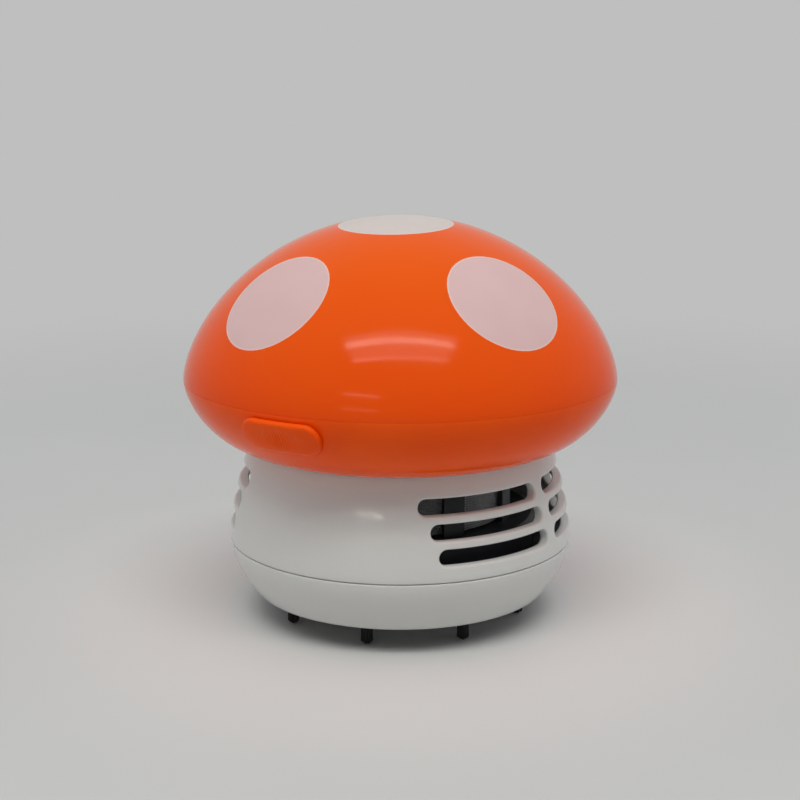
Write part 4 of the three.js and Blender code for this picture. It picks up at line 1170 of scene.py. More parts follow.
stop = sector("stop", HOOK_INNER, hook_outer, *turns, stem_bottom, lug_top, white_finish)
combined(hook, [stop])
added.append(copied_round(hook, 3, BAYONET_FIRST, BAYONET_STEP, white_finish))
combined(stem, [plate, *added])
holes = [
    post("pilot", SCREW_HOLE, boss_low + RIM_GAP, stem_top + WALL, middle_of(at), white_finish, edge=0)
    for at in stem_screws
]
combined(stem, holes, "DIFFERENCE")
hand_over(stem, "housing", "white_plastic", "stem_shell")

# %% [markdown]
# ### The base
#
# The base is a shallow white bowl that twists on to the stem. Its underside has a mouth that leads into the
# inlet pipe, and a groove that holds the brush strips. It is turned, and three lugs on short arms are added
# for the bayonet.

# %% Make the base
BASE_FULLNESS = 1.7
UNDERSIDE_RADIUS = 30 * MM
RIM_RADIUS = 30.5 * MM
RIM_RISE = 0.5 * MM
rim_height = base_bottom + RIM_RISE
BRUSH_RADIUS = 25.5 * MM
STRIP_HALF = 2.8 * MM
GROOVE_DEPTH = 2 * MM
groove_top = base_bottom + GROOVE_DEPTH
INLET_RADIUS = 7 * MM
INLET_WALL = 1.4 * MM
BASE_EDGE = 0.25 * MM
inlet_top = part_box("base_cover")[1].z
base_floor_top = groove_top + FLOOR_WALL
base_top = base_seam - PACKED_GAP + FINER_SEAM


def base_radius(height):
    """The base narrows from the seam to the rim of its underside."""
    share = min(1.0, max(0.0, (base_top - height) / (base_top - rim_height)))
    return foot_radius - (foot_radius - RIM_RADIUS) * share**BASE_FULLNESS


def wall_line(radius_at, start, end, count, inset=0.0):
    """Points (radius, height) of a wall between two heights."""
    heights = [start + (end - start) * i / count for i in range(count + 1)]
    return [(radius_at(height) - inset, height) for height in heights]


groove_inner = BRUSH_RADIUS - STRIP_HALF - RIM_GAP
groove_outer = BRUSH_RADIUS + STRIP_HALF + RIM_GAP
outline = [
    *wall_line(base_radius, base_top, rim_height, 24),
    (UNDERSIDE_RADIUS, base_bottom),
    (groove_outer, base_bottom),
    (groove_outer, groove_top),
    (groove_inner, groove_top),
    (groove_inner, base_bottom),
    (INLET_RADIUS + MM, base_bottom),
    (INLET_RADIUS, base_bottom + MM),
    (INLET_RADIUS, inlet_top),
    (INLET_RADIUS + INLET_WALL, inlet_top),
    (INLET_RADIUS + INLET_WALL, base_bottom + WALL),
    (groove_inner - FLOOR_WALL, base_bottom + WALL),
    (groove_inner - FLOOR_WALL, base_floor_top),
    *wall_line(base_radius, base_floor_top, base_top, 12, WALL),
]
base = turned("base", softened(outline, BASE_EDGE), white_finish)
LUG_REACH = 7
ARM_WALL = 1.4 * MM
LUG_GAP = 0.75 * MM
arm_outer = HOOK_INNER - RIM_GAP
lug_bottom = stem_bottom + HOOK_HEIGHT + RIM_GAP
arm_low = base_floor_top - FLOOR_WALL / 2
turns = (-LUG_REACH, LUG_REACH)
arm = sector("arm", arm_outer - ARM_WALL, arm_outer, *turns, arm_low, lug_top, white_finish)
lug_outer = foot_radius - WALL - LUG_GAP
lug = sector("lug", arm_outer - ARM_WALL / 2, lug_outer, *turns, lug_bottom, lug_top, white_finish)
combined(arm, [lug])
lugs = copied_round(arm, 3, BAYONET_FIRST, BAYONET_STEP, white_finish)
combined(base, [lugs])
hand_over(base, "base", "white_plastic", "base_cover")

# %% [markdown]
# ### The bristle tufts
#
# Two tufts stand in each quarter of the brush ring. A tuft is some two hundred nylon strands that are
# gathered at the root, splay a little towards the floor, and are trimmed round at the tips. A tree scatters
# roots over a small disc at each tuft's place, stands a thin strand on each root, and then bends the
# strands outwards: the further down, the more, in proportion to how far off the middle the root is.

# %% Finish for the strands
DUST_SIZE = 0.8 * MM
STRAND_GRAIN = 0.3 * MM


def strand_finish(name):
    """Black nylon: a soft sheen along each strand, with a little dust."""
    material, tree, shader, place = begin_finish(name)
    dusty = spread(tree, noise(tree, place, DUST_SIZE, 4.0), 0.0, 0.35)
    colour = mixed(tree, dusty, paint("#0b0c0e"), paint("#26272a"))
    tree.links.new(colour, shader.inputs["Base Color"])
    worn = spread(tree, noise(tree, place, STRAND_GRAIN), 0.4, 0.6)
    tree.links.new(worn, shader.inputs["Roughness"])
    return material


bristle_finish = strand_finish("black nylon bristle")
strip_finish = moulded("brush strip rubber", "#121316", "#0c0d0f", (0.5, 0.65), MATT_RIPPLE)


# %% The tree that grows tufts
STRAND_SEGMENTS = 3
ROOT_DENSITY = 9e7  # roots on a square metre, more than the root gap leaves room for
FLAT = (1, 1, 0)
TIP_TRIM = 0.15  # how much shorter a strand at a tuft's rim is than one in its middle
TIP_UNEVEN = 0.03
TUFT_RADIUS = 1.15 * MM
ROOT_GAP = 0.13 * MM
STRAND_RADIUS = 0.065 * MM
STRAND_LENGTH = 5 * MM


def vector_attribute(tree, name):
    """A vector that an earlier node stored on the points."""
    return shaped(tree, "InputNamedAttribute", {"Name": name}, data_type="FLOAT_VECTOR")


def stored(tree, geometry, name, value):
    """The geometry with a vector stored on its points."""
    inputs = {"Geometry": geometry, "Name": name, "Value": value}
    return shaped(tree, "StoreNamedAttribute", inputs, data_type="FLOAT_VECTOR")


def tuft_tree():
    """A tree that stands a tuft of strands at each point."""
    tree, given = begin_tree(
        "bristle tufts",
        {
            "Tuft radius": ("Float", TUFT_RADIUS),
            "Root gap": ("Float", ROOT_GAP),
            "Strand radius": ("Float", STRAND_RADIUS),
            "Length": ("Float", STRAND_LENGTH),
            "Splay": ("Float", 0.06),
            "Seed": ("Int", 4),
            "Material": ("Material", None),
        },
    )
    # Roots are scattered over a disc at each tuft's place.
    here = shaped(tree, "InputPosition")
    marked = stored(tree, given["Geometry"], "tuft middle", here)
    disc = shaped(tree, "MeshCircle", {"Vertices": 16, "Radius": given["Tuft radius"]}, fill_type="NGON")
    discs = shaped(tree, "InstanceOnPoints", {"Points": marked, "Instance": disc})
    ground = shaped(tree, "RealizeInstances", {"Geometry": discs})
    scatter = {"Mesh": ground, "Distance Min": given["Root gap"], "Density Max": ROOT_DENSITY}
    scatter["Seed"] = given["Seed"]
    roots = shaped(tree, "DistributePointsOnFaces", scatter, distribute_method="POISSON")
    # One thin strand hangs from its root, and each copy has a length and a turn of its own.
    section = {"Vertices": 4, "Side Segments": STRAND_SEGMENTS, "Radius": given["Strand radius"]}
    section["Depth"] = given["Length"]
    strand = shaped(tree, "MeshCylinder", section, fill_type="NGON")
    half_down = vector_of(tree, Z=sums(tree, "MULTIPLY", given["Length"], -0.5))
    hung = shaped(tree, "Transform", {"Geometry": strand, "Translation": half_down})
    middle = vector_attribute(tree, "tuft middle")
    off = vectors(tree, "MULTIPLY", vectors(tree, "SUBTRACT", here, middle), FLAT)
    share = sums(tree, "DIVIDE", vectors(tree, "LENGTH", off), given["Tuft radius"])
    trim = sums(tree, "MULTIPLY", sums(tree, "MULTIPLY", share, share), TIP_TRIM)
    limits = {2: -TIP_UNEVEN, 3: TIP_UNEVEN, "Seed": given["Seed"]}
    uneven = node(tree, "FunctionNodeRandomValue", limits, data_type="FLOAT").outputs[1]
    length = sums(tree, "ADD", sums(tree, "SUBTRACT", 1.0, trim), uneven)
    rooted = stored(tree, roots, "root", here)
    limits = {0: (0, 0, 0), 1: (0, 0, 1.5), "Seed": given["Seed"]}
    turn = node(tree, "FunctionNodeRandomValue", limits, data_type="FLOAT_VECTOR").outputs[0]
    copies = {"Points": rooted, "Instance": hung, "Rotation": turn}
    copies["Scale"] = vector_of(tree, X=1.0, Y=1.0, Z=length)
    strands = shaped(tree, "InstanceOnPoints", copies)
    # The strands bend outwards the more, the further down and the further off the middle they are.
    loose = shaped(tree, "RealizeInstances", {"Geometry": strands})
    root = vector_attribute(tree, "root")
    depth = parts_of(tree, vectors(tree, "SUBTRACT", root, here))["Z"]
    down = sums(tree, "DIVIDE", depth, given["Length"])
    lean = sums(tree, "MULTIPLY", sums(tree, "MULTIPLY", down, down), given["Splay"])
    aside = vectors(tree, "MULTIPLY", vectors(tree, "SUBTRACT", root, middle), FLAT)
    offset = node(tree, "ShaderNodeVectorMath", {0: aside, "Scale": lean}, operation="SCALE").outputs[0]
    bent = shaped(tree, "SetPosition", {"Geometry": loose, "Offset": offset})
    # No tip goes below the floor.
    parts = parts_of(tree, here)
    above = vector_of(tree, X=parts["X"], Y=parts["Y"], Z=sums(tree, "MAXIMUM", parts["Z"], 0.0))
    end_tree(tree, shaped(tree, "SetPosition", {"Geometry": bent, "Position": above}), given["Material"])
    return tree


TUFTS = tuft_tree()

# %% Make the four brush strips with their tufts
TUFT_TURN = 15.5  # degrees from the front to the first tuft
TUFT_STEP = 45
TUFT_INSET = 0.6 * MM
STRIP_DROP = 0.6 * MM
STRIP_HEIGHT = 2.3 * MM
STRIP_GAP = 0.6  # degrees left free at each end of a strip
ROOT_RISE = 0.4 * MM
FIRST_SEED = 4
tuft_ring = BRUSH_RADIUS - TUFT_INSET
strip_bottom = base_bottom - STRIP_DROP
root_height = strip_bottom + ROOT_RISE
for index in range(4):
    first = TUFT_TURN - TUFT_STEP / 2 + 90 * index
    strip = sector(
        "brush_strip_%d" % (index + 1),
        BRUSH_RADIUS - STRIP_HALF,
        BRUSH_RADIUS + STRIP_HALF,
        first + STRIP_GAP,
        first + 90 - STRIP_GAP,
        strip_bottom,
        strip_bottom + STRIP_HEIGHT,
        strip_finish,
        ROUND_EDGE,
    )
    turns = [TUFT_TURN + TUFT_STEP * (2 * index + i) for i in (0, 1)]
    tufts = new_object("tufts_%d" % (index + 1), [on_turn(tuft_ring, t, root_height) for t in turns])
    values = {"Length": root_height, "Seed": FIRST_SEED + index, "Material": bristle_finish}
    run_tree(tufts, TUFTS, values)
    smooth(tufts, 60)
    for piece in (strip, tufts):
        hand_over(piece, "base", "bristle", "brush_%d" % (index + 1))
# A strand has four faces on each of its segments, and two ends.
print("strands in the last tufts:", len(tufts.data.polygons) // (4 * STRAND_SEGMENTS + 2))

# %% [markdown]
# ### The filter basket
#
# Behind the slots stands the filter: a black cage of nine ribs on a wider skirt. The skirt and the top ring
# are turned, and one rib is drawn at the front and copied round by the same tree as the hooks.

# %% Make the basket
basket_low, basket_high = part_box("filter_basket")
SKIRT_WALL = 1.4 * MM
SKIRT_EDGE = 0.8 * MM
SKIRT_RADIUS = basket_high.x
SKIRT_HEIGHT = 5.1 * MM
skirt_top = base_seam + SKIRT_HEIGHT
CAGE_RADIUS = 23.3 * MM
RING_HEIGHT = 1.5 * MM
RING_GAP = 1 * MM
RING_EDGE = 0.25 * MM
RIB_THICKNESS = 1.1 * MM
RIB_OVERLAP = 0.7 * MM
RIB_REACH = 5.5  # degrees to each side
RIB_FIRST = 17.7
RIB_COUNT = 9
cage_ring_low = basket_high.z - RING_HEIGHT
sleeve_low, sleeve_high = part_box("filter_mesh")
sleeve_outer = sleeve_high.x
SLEEVE_WALL = 0.5 * MM
sleeve_inner = sleeve_outer - SLEEVE_WALL
ring_inner = CUP_RADIUS + CUP_WALL + RING_GAP
outline = [
    (SKIRT_RADIUS, basket_low.z),
    (SKIRT_RADIUS, skirt_top - SKIRT_EDGE),
    (SKIRT_RADIUS - SKIRT_EDGE, skirt_top),
    (sleeve_inner - RIM_GAP, skirt_top),
    (sleeve_inner - RIM_GAP, skirt_top - SKIRT_WALL),
    (SKIRT_RADIUS - SKIRT_WALL, skirt_top - SKIRT_WALL),
    (SKIRT_RADIUS - SKIRT_WALL, basket_low.z),
]
basket = turned("filter_cage", softened(outline, ROUND_EDGE), black_finish, sides=128)
outline = [
    (ring_inner, cage_ring_low),
    (CAGE_RADIUS, cage_ring_low),
    (CAGE_RADIUS, basket_high.z),
    (ring_inner, basket_high.z),
]
ring = turned("cage_ring", softened(outline, RING_EDGE), black_finish, sides=128)
rib_inner = CAGE_RADIUS - RIB_THICKNESS
rib_low = skirt_top - SKIRT_WALL / 2
rib_high = cage_ring_low + RIB_OVERLAP
turns = (-RIB_REACH, RIB_REACH)
rib = sector("rib", rib_inner, CAGE_RADIUS, *turns, rib_low, rib_high, black_finish, edge=0)
ribs = copied_round(rib, RIB_COUNT, RIB_FIRST, 360 / RIB_COUNT, black_finish)
combined(basket, [ring, ribs])
hand_over(basket, "housing", "black_plastic", "filter_basket")

# %% [markdown]
# ### The filter's woven sleeve
#
# A fine sleeve of woven mesh stops the dust. At this size a picture of a weave would look flat in the
# slots, so the wires are real. The tree takes a flat grid, rolls it round the axis, keeps only its edges as
# curves, and gives each a thin wire. Neighbouring crossings lie a little further out and in, as in a weave.


# %% The tree that weaves the sleeve
SEAM_WELD = 0.01 * MM
WIRE_RADIUS = 0.12 * MM
STAIN_SIZE = 2 * MM
PATCH_SIZE = 0.7 * MM
GRAIN_SIZE = 0.25 * MM
GRAIN_DEPTH = 0.002 * MM
sleeve_radius = (sleeve_outer + sleeve_inner) / 2
sleeve_height = sleeve_high.z - sleeve_low.z - 2 * WIRE_RADIUS


def wire_on(tree, curve, radius, sides):
    """A closed round wire on a curve."""
    section = shaped(tree, "CurvePrimitiveCircle", {"Resolution": sides, "Radius": radius})
    return shaped(tree, "CurveToMesh", {"Curve": curve, "Profile Curve": section, "Fill Caps": True})


def weave_tree():
    """A tree that rolls a grid of wires round the axis."""
    tree, given = begin_tree(
        "woven sleeve",
        {
            "Radius": ("Float", sleeve_radius),
            "Height": ("Float", sleeve_height),
            "Wires round": ("Int", 240),
            "Wires up": ("Int", 15),
            "Wire radius": ("Float", WIRE_RADIUS),
            "Material": ("Material", None),
        },
    )
    grid = shaped(
        tree,
        "MeshGrid",
        {
            "Size X": sums(tree, "MULTIPLY", given["Radius"], 2 * math.pi),
            "Size Y": given["Height"],
            "Vertices X": sums(tree, "ADD", given["Wires round"], 1),
            "Vertices Y": given["Wires up"],
        },
    )
    parts = parts_of(tree, shaped(tree, "InputPosition"))
    turn = sums(tree, "DIVIDE", parts["X"], given["Radius"])
    odd = sums(tree, "MODULO", shaped(tree, "InputIndex"), 2)
    swing = sums(tree, "MULTIPLY", sums(tree, "SUBTRACT", odd, 0.5), given["Wire radius"])
    radius = sums(tree, "ADD", given["Radius"], swing)
    back = sums(tree, "MULTIPLY", radius, sums(tree, "COSINE", turn))
    aside = sums(tree, "MULTIPLY", radius, sums(tree, "SINE", turn))
    rolled = vector_of(tree, X=aside, Y=sums(tree, "MULTIPLY", back, -1.0), Z=parts["Y"])
    sleeve = shaped(tree, "SetPosition", {"Geometry": grid, "Position": rolled})
    welded = shaped(tree, "MergeByDistance", {"Geometry": sleeve, "Distance": SEAM_WELD})
    lines = shaped(tree, "MeshToCurve", {"Mesh": welded})
    end_tree(tree, wire_on(tree, lines, given["Wire radius"], 4), given["Material"])
    return tree


def wire_finish(name, light, dark, metal=0.0, gloss=(0.45, 0.6)):
    """A drawn wire or pressed sheet: even metal with a fine stain."""
    material, tree, shader, place = begin_finish(name)
    stain = spread(tree, noise(tree, place, STAIN_SIZE, 5.0), 0.0, 1.0)
    tree.links.new(mixed(tree, stain, paint(light), paint(dark)), shader.inputs["Base Color"])
    tree.links.new(spread(tree, noise(tree, place, PATCH_SIZE, 5.0), *gloss), shader.inputs["Roughness"])
    shader.inputs["Metallic"].default_value = metal
    bumped(tree, shader, noise(tree, place, GRAIN_SIZE), GRAIN_DEPTH)
    return material


mesh_finish = wire_finish("grey nylon mesh", "#b2b0b4", "#a3a1a5")
weaving = {
    "Radius": sleeve_radius,
    "Height": sleeve_height,
    "Wires round": 360,
    "Wires up": 23,  # an odd count, so that the crossings alternate round the sleeve too
    "Wire radius": WIRE_RADIUS,
    "Material": mesh_finish,
}
sleeve = new_object("filter_sleeve", [])
run_tree(sleeve, weave_tree(), weaving)
sleeve.data.transform(Matrix.Translation((0, 0, middle_of((sleeve_low, sleeve_high)).z)))
smooth(sleeve, 60)
hand_over(sleeve, "housing", "grey_mesh", "filter_mesh")

# %% [markdown]
# ## Inside the cap
#
# The dome lifts off to change the cells, so what is inside has to look right too. Pressed and moulded parts
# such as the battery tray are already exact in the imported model, but their edges are razor sharp. A copy
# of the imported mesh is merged, its coplanar triangles are joined, and a narrow bevel softens its edges.


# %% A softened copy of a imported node
def packed_shape(packed, flat=1.0):
    """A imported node's mesh with its loose triangles merged, and joined where they are flat in degrees."""
    shape = bmesh.new()
    shape.from_mesh(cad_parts[packed].data)
    bmesh.ops.remove_doubles(shape, verts=shape.verts, dist=MM / 500)
    if flat:
        limit = math.radians(flat)
        bmesh.ops.dissolve_limit(shape, angle_limit=limit, verts=shape.verts, edges=shape.edges)
    return shape


def softened_copy(packed, material, edge):
    """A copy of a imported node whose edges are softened."""
    obj = built(packed + "_made", packed_shape(packed), material)
    modifier = obj.modifiers.new("soft edges", "BEVEL")
    modifier.width = edge
    modifier.segments = 2
    modifier.limit_method = "ANGLE"
    modifier.angle_limit = CORNER_TURN * 2
    flatten(obj)
    return smooth(faced_outwards(obj))


# %% Finishes for the inner pieces
def metal(name, light, dark, gloss=(0.22, 0.36)):
    """Plated or drawn metal with a faint stain and fine scratches."""
    return wire_finish(name, light, dark, metal=1.0, gloss=gloss)


steel_finish = metal("plated steel", "#aeb0b0", "#9a9c9c")
dark_steel_finish = metal("spring steel", "#8f9192", "#7c7e80", gloss=(0.28, 0.4))
brass_finish = metal("brass", "#c9a24a", "#b08a3c")
copper_finish = metal("copper winding", "#b0643f", "#8f4a2c", gloss=(0.3, 0.45))
solder_finish = metal("solder", "#b9babb", "#8e9092", gloss=(0.18, 0.5))
magnet_finish = moulded("ferrite magnet", "#3a3a3c", "#303032", gloss=(0.5, 0.7), ripple=ROUGH_RIPPLE)
nylon_finish = moulded("white nylon", "#d9d8d0", "#cfcdc4", gloss=(0.3, 0.42))
jacket_finish = moulded("plain green cell jacket", "#2f5f55", "#2a574d", gloss=(0.18, 0.26))
red_finish = moulded("red insulation", "#b31a1a", "#a01515", gloss=(0.3, 0.42))
black_lead_finish = moulded("black insulation", "#17171a", "#101013", gloss=(0.3, 0.42))

# %% The moulded and pressed pieces that only need softer edges
SOFTENED = (
    ("battery_tray", "housing", "black_plastic", black_finish, 0.2),
    ("slide_switch_case", "housing", "steel", steel_finish, 0.3),
    ("slide_switch_lever", "lever", "black_plastic", black_finish, 0.25),
    ("contact_negative", "housing", "steel", dark_steel_finish, 0.08),
    ("contact_positive", "housing", "steel", dark_steel_finish, 0.08),
    ("contact_bridge", "housing", "steel", dark_steel_finish, 0.08),
    ("motor_terminal_left", "housing", "brass", brass_finish, 0.06),
    ("motor_terminal_right", "housing", "brass", brass_finish, 0.06),
    ("switch_pin_1", "housing", "brass", brass_finish, 0.06),
    ("switch_pin_2", "housing", "brass", brass_finish, 0.06),
    ("switch_pin_3", "housing", "brass", brass_finish, 0.06),
)
for packed, body, slot, finish, edge in SOFTENED:
    hand_over(softened_copy(packed, finish, edge * MM), body, slot, packed)

# %% [markdown]
# ### The motor
#
# The motor is a small round can with two flats, drawn from sheet steel, so its edges are rounder than those
# of a moulded part. A nylon end cap closes it. The magnets, the winding and the commutator are hidden inside
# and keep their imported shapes, with finishes of their own.


# %% Make the motor's can, end cap and shaft
def flatted(radius, half_flat, step=4.0):
    """A circle with two flats that face -X and +X, as (x, y) points."""
    reach = math.degrees(math.acos(half_flat / radius))
    count = round((180 - 2 * reach) / step)
    turns = [reach + (180 - 2 * reach) * i / count for i in range(count + 1)]
    half = [(radius * math.cos(math.radians(t)), radius * math.sin(math.radians(t))) for t in turns]
    return [Vector(point) for point in half] + [-Vector(point) for point in half]


CAN_RADIUS = can_high.y
CAN_FLAT = can_high.x
CAN_WALL = 0.6 * MM
CAN_EDGE = 0.5 * MM
NOSE_RADIUS = 3 * MM
NOSE_HEIGHT = 1.4 * MM
SHAFT_HOLE = 1.3 * MM
can_floor = can_low.z + NOSE_HEIGHT
on_axis = (0, 0)
can = slab("motor_can_made", flatted(CAN_RADIUS, CAN_FLAT), can_floor, can_high.z, steel_finish, CAN_EDGE)
inner_outline = flatted(CAN_RADIUS - CAN_WALL, CAN_FLAT - CAN_WALL)
hollow = slab("hollow", inner_outline, can_floor + CAN_WALL, can_high.z + WALL, steel_finish, 0)
nose = post("nose", NOSE_RADIUS, can_low.z, can_floor + CAN_WALL / 2, on_axis, steel_finish, edge=ROUND_EDGE)
combined(can, [nose])
bore = post("bore", SHAFT_HOLE, can_low.z - WALL, can_floor + WALL, on_axis, steel_finish, edge=0)
combined(can, [hollow, bore], "DIFFERENCE")
hand_over(can, "housing", "steel", "motor_can")

cap_low, cap_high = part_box("motor_end_cap")
END_CAP_THICKNESS = 2.5 * MM
REAR_BOSS = 3.2 * MM
BEARING_DEPTH = 3.4 * MM
END_CAP_EDGE = 0.35 * MM
REAR_BOSS_EDGE = 0.4 * MM
SHAFT_EDGE = 0.25 * MM
plate_top = cap_low.z + END_CAP_THICKNESS
outline = flatted(CAN_RADIUS, CAN_FLAT)
end_cap = slab("end_cap_made", outline, cap_low.z, plate_top, nylon_finish, END_CAP_EDGE)
boss = post("boss", REAR_BOSS, plate_top - MM, cap_high.z, on_axis, nylon_finish, edge=REAR_BOSS_EDGE)
combined(end_cap, [boss])
cutters = [
    post("bearing", SHAFT_HOLE, cap_low.z - MM, cap_low.z + BEARING_DEPTH, on_axis, nylon_finish, edge=0)
]
for side in ("left", "right"):
    low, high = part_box("motor_terminal_" + side)
    around = Vector((RIM_GAP, RIM_GAP, WALL))
    cutters.append(block("slot", low - around, high + around, nylon_finish, edge=0))
combined(end_cap, cutters, "DIFFERENCE")
hand_over(end_cap, "housing", "white_plastic", "motor_end_cap")

shaft_low, shaft_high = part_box("motor_shaft")
shaft = post("shaft_made", shaft_high.x, shaft_low.z, shaft_high.z, on_axis, steel_finish, 32, SHAFT_EDGE)
hand_over(shaft, "rotor", "steel", "motor_shaft")
hidden = (
    (magnet_finish, "motor_magnet_front", "motor_magnet_back"),
    (copper_finish, "motor_armature", "motor_commutator"),
)
for finish, *names in hidden:
    for name in names:
        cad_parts[name].material_slots[0].material = finish

# %% The clamp that holds the motor down
COLLAR_GAP = 0.3 * MM
COLLAR_WALL = 1.2 * MM
EAR_HALF = 3 * MM
CLAMP_EDGE = 0.25 * MM
clamp_low, clamp_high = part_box("motor_clamp")
ear_top = clamp_screws[0][1].z - HEAD_HEIGHT - RIM_GAP
inner_collar = (CAN_RADIUS + COLLAR_GAP, CAN_FLAT + COLLAR_GAP)
outer_collar = (inner_collar[0] + COLLAR_WALL, inner_collar[1] + COLLAR_WALL)
hole_low = ear_top - WALL
clamp = slab("clamp_made", flatted(*outer_collar), clamp_low.z, clamp_high.z, black_finish, CLAMP_EDGE)
ears = [
    block(
        "ear",
        (-EAR_HALF, min(reach, side * CAN_RADIUS), ear_top - FLOOR_WALL),
        (EAR_HALF, max(reach, side * CAN_RADIUS), ear_top),
        black_finish,
        ROUND_EDGE,
    )
    for side, reach in ((-1, clamp_low.y), (1, clamp_high.y))
]
combined(clamp, ears)
cutters = [slab("hollow", flatted(*inner_collar), clamp_low.z - MM, clamp_high.z + MM, black_finish, 0)]
for at in clamp_screws:
    cutters.append(post("hole", SCREW_HOLE, hole_low, clamp_high.z, middle_of(at), black_finish, edge=0))
combined(clamp, cutters, "DIFFERENCE")
hand_over(clamp, "housing", "black_plastic", "motor_clamp")

# %% [markdown]
# ### The fan
#
# The impeller hangs on the end of the shaft, below the motor. One swept blade is drawn and the tree for
# copies sets nine of them round the hub, under a thin disc.

# %% Make the impeller
FAN_DISC = 1 * MM
FAN_HUB = 3.2 * MM
BLADE_THICKNESS = 1 * MM
BLADE_EYE = 5.5 * MM
BLADE_SWEEP = 34  # degrees that a blade leans back
BLADE_COUNT = 9
BLADE_STEPS = 14
fan_low, fan_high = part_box("impeller")
fan_radius = fan_high.x


def blade_edge(side):
    """One long edge of the blade that starts at the front."""
    points = []
    for i in range(BLADE_STEPS + 1):
        share = i / BLADE_STEPS
        radius = BLADE_EYE + (fan_radius - BLADE_THICKNESS - BLADE_EYE) * share
        half_turn = math.degrees(BLADE_THICKNESS / 2 / radius)
        points.append(on_turn(radius, BLADE_SWEEP * share + side * half_turn).xy)
    return points


blade_outline = blade_edge(1) + blade_edge(-1)[::-1]
blade = slab("blade", blade_outline, fan_low.z, fan_high.z - FAN_DISC / 2, nylon_finish, FINE_EDGE)
blades = copied_round(blade, BLADE_COUNT, 0, 360 / BLADE_COUNT, nylon_finish)
fan = post("fan_made", fan_radius, fan_high.z - FAN_DISC, fan_high.z, on_axis, nylon_finish, sides=96)
hub = post("hub", FAN_HUB, fan_low.z, fan_high.z, on_axis, nylon_finish, edge=ROUND_EDGE)
combined(fan, [hub, blades])
bore = post("bore", SHAFT_HOLE, fan_low.z - MM, fan_high.z + MM, on_axis, nylon_finish, edge=0)
combined(fan, [bore], "DIFFERENCE")
hand_over(fan, "rotor", "white_plastic", "impeller")

# %% [markdown]
# ### The cells and their springs
#
# Two plain AA cells lie beside the motor, head to tail. A cell is a steel can with a nub, in a thin printed
# jacket that is shrunk over both edges; here the jacket is a plain green with no print. Both are turned
# upright and then laid down. The cone springs follow a spiral, which is a curve primitive of the node
# system with a round wire swept along it.

# %% Make the cells
def laid_down(middle, start, direction):
    """The move that lays an upright piece along Y, with its foot at the start."""
    turn = Matrix.Rotation(-math.pi / 2 * direction, 4, "X")
    return Matrix.Translation((middle.x, start, middle.z)) @ turn


CELL_EDGE = 0.6 * MM
CELL_DENT = 0.15 * MM
CELL_SOFTNESS = 0.4 * MM
NUB_RADIUS = 2.75 * MM
NUB_HEIGHT = 1 * MM
JACKET_THICKNESS = 0.12 * MM
JACKET_FOLD = 1.4 * MM  # how far the jacket turns in over the ends
for side, direction in (("left", 1), ("right", -1)):
    low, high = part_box("battery_cell_" + side)
    length = high.y - low.y
    radius = (high.z - low.z) / 2
    drawn = radius - JACKET_THICKNESS
    shoulder = length - NUB_HEIGHT
    outline = [
        (0, CELL_DENT),
        (radius - 3 * CELL_EDGE, CELL_DENT),
        (radius - 2.5 * CELL_EDGE, JACKET_THICKNESS),
        (drawn - CELL_EDGE, JACKET_THICKNESS),
        (drawn, CELL_EDGE),
        (drawn, shoulder - CELL_EDGE),
        (drawn - CELL_EDGE, shoulder - JACKET_THICKNESS),
        (NUB_RADIUS + CELL_EDGE, shoulder - JACKET_THICKNESS),
        (NUB_RADIUS, shoulder + CELL_EDGE / 2),
        (NUB_RADIUS, length),
        (0, length),
    ]
    profile = softened(outline, CELL_SOFTNESS, closed=False)
    metal_can = turned("cell_%s_can" % side, profile, steel_finish, 64, False)
    outline = [
        (drawn - JACKET_FOLD, 0),
        (radius - CELL_EDGE, 0),
        (radius, CELL_EDGE),
        (radius, shoulder - CELL_EDGE),
        (radius - CELL_EDGE, shoulder),
        (drawn - JACKET_FOLD, shoulder),
        (drawn - JACKET_FOLD, shoulder - JACKET_THICKNESS),
        (drawn - CELL_EDGE, shoulder - JACKET_THICKNESS),
        (drawn, shoulder - CELL_EDGE),
        (drawn, CELL_EDGE),
        (drawn - CELL_EDGE, JACKET_THICKNESS),
        (drawn - JACKET_FOLD, JACKET_THICKNESS),
    ]
    jacket = turned("cell_%s_jacket" % side, softened(outline, ROUND_EDGE), jacket_finish, 64)
    middle = middle_of((low, high))
    start = low.y if direction > 0 else high.y
    laid = laid_down(middle, start, direction)
    for piece, slot in ((metal_can, "steel"), (jacket, "cell_foil")):
        piece.data.transform(laid)
        hand_over(piece, "housing", slot, "battery_cell_" + side)


# %% The tree for a cone spring, and the two springs
SPRING_WIRE = 0.25 * MM
SPRING_BASE = 4.2 * MM
SPRING_TIP = 2.4 * MM
SPRING_HEIGHT = 3.1 * MM


def spring_tree():
    """A tree that bends a wire to a cone spring."""
    tree, given = begin_tree(
        "cone spring",
        {
            "Curls": ("Float", 3.0),
            "Base radius": ("Float", SPRING_BASE),
            "Tip radius": ("Float", SPRING_TIP),
            "Height": ("Float", SPRING_HEIGHT),
            "Wire radius": ("Float", SPRING_WIRE),
            "Material": ("Material", None),
        },
    )
    spiral = shaped(
        tree,
        "CurveSpiral",
        {
            "Resolution": 40,
            "Rotations": given["Curls"],
            "Start Radius": given["Base radius"],
            "End Radius": given["Tip radius"],
            "Height": given["Height"],
        },
    )
    end_tree(tree, wire_on(tree, spiral, given["Wire radius"], 10), given["Material"])
    return tree


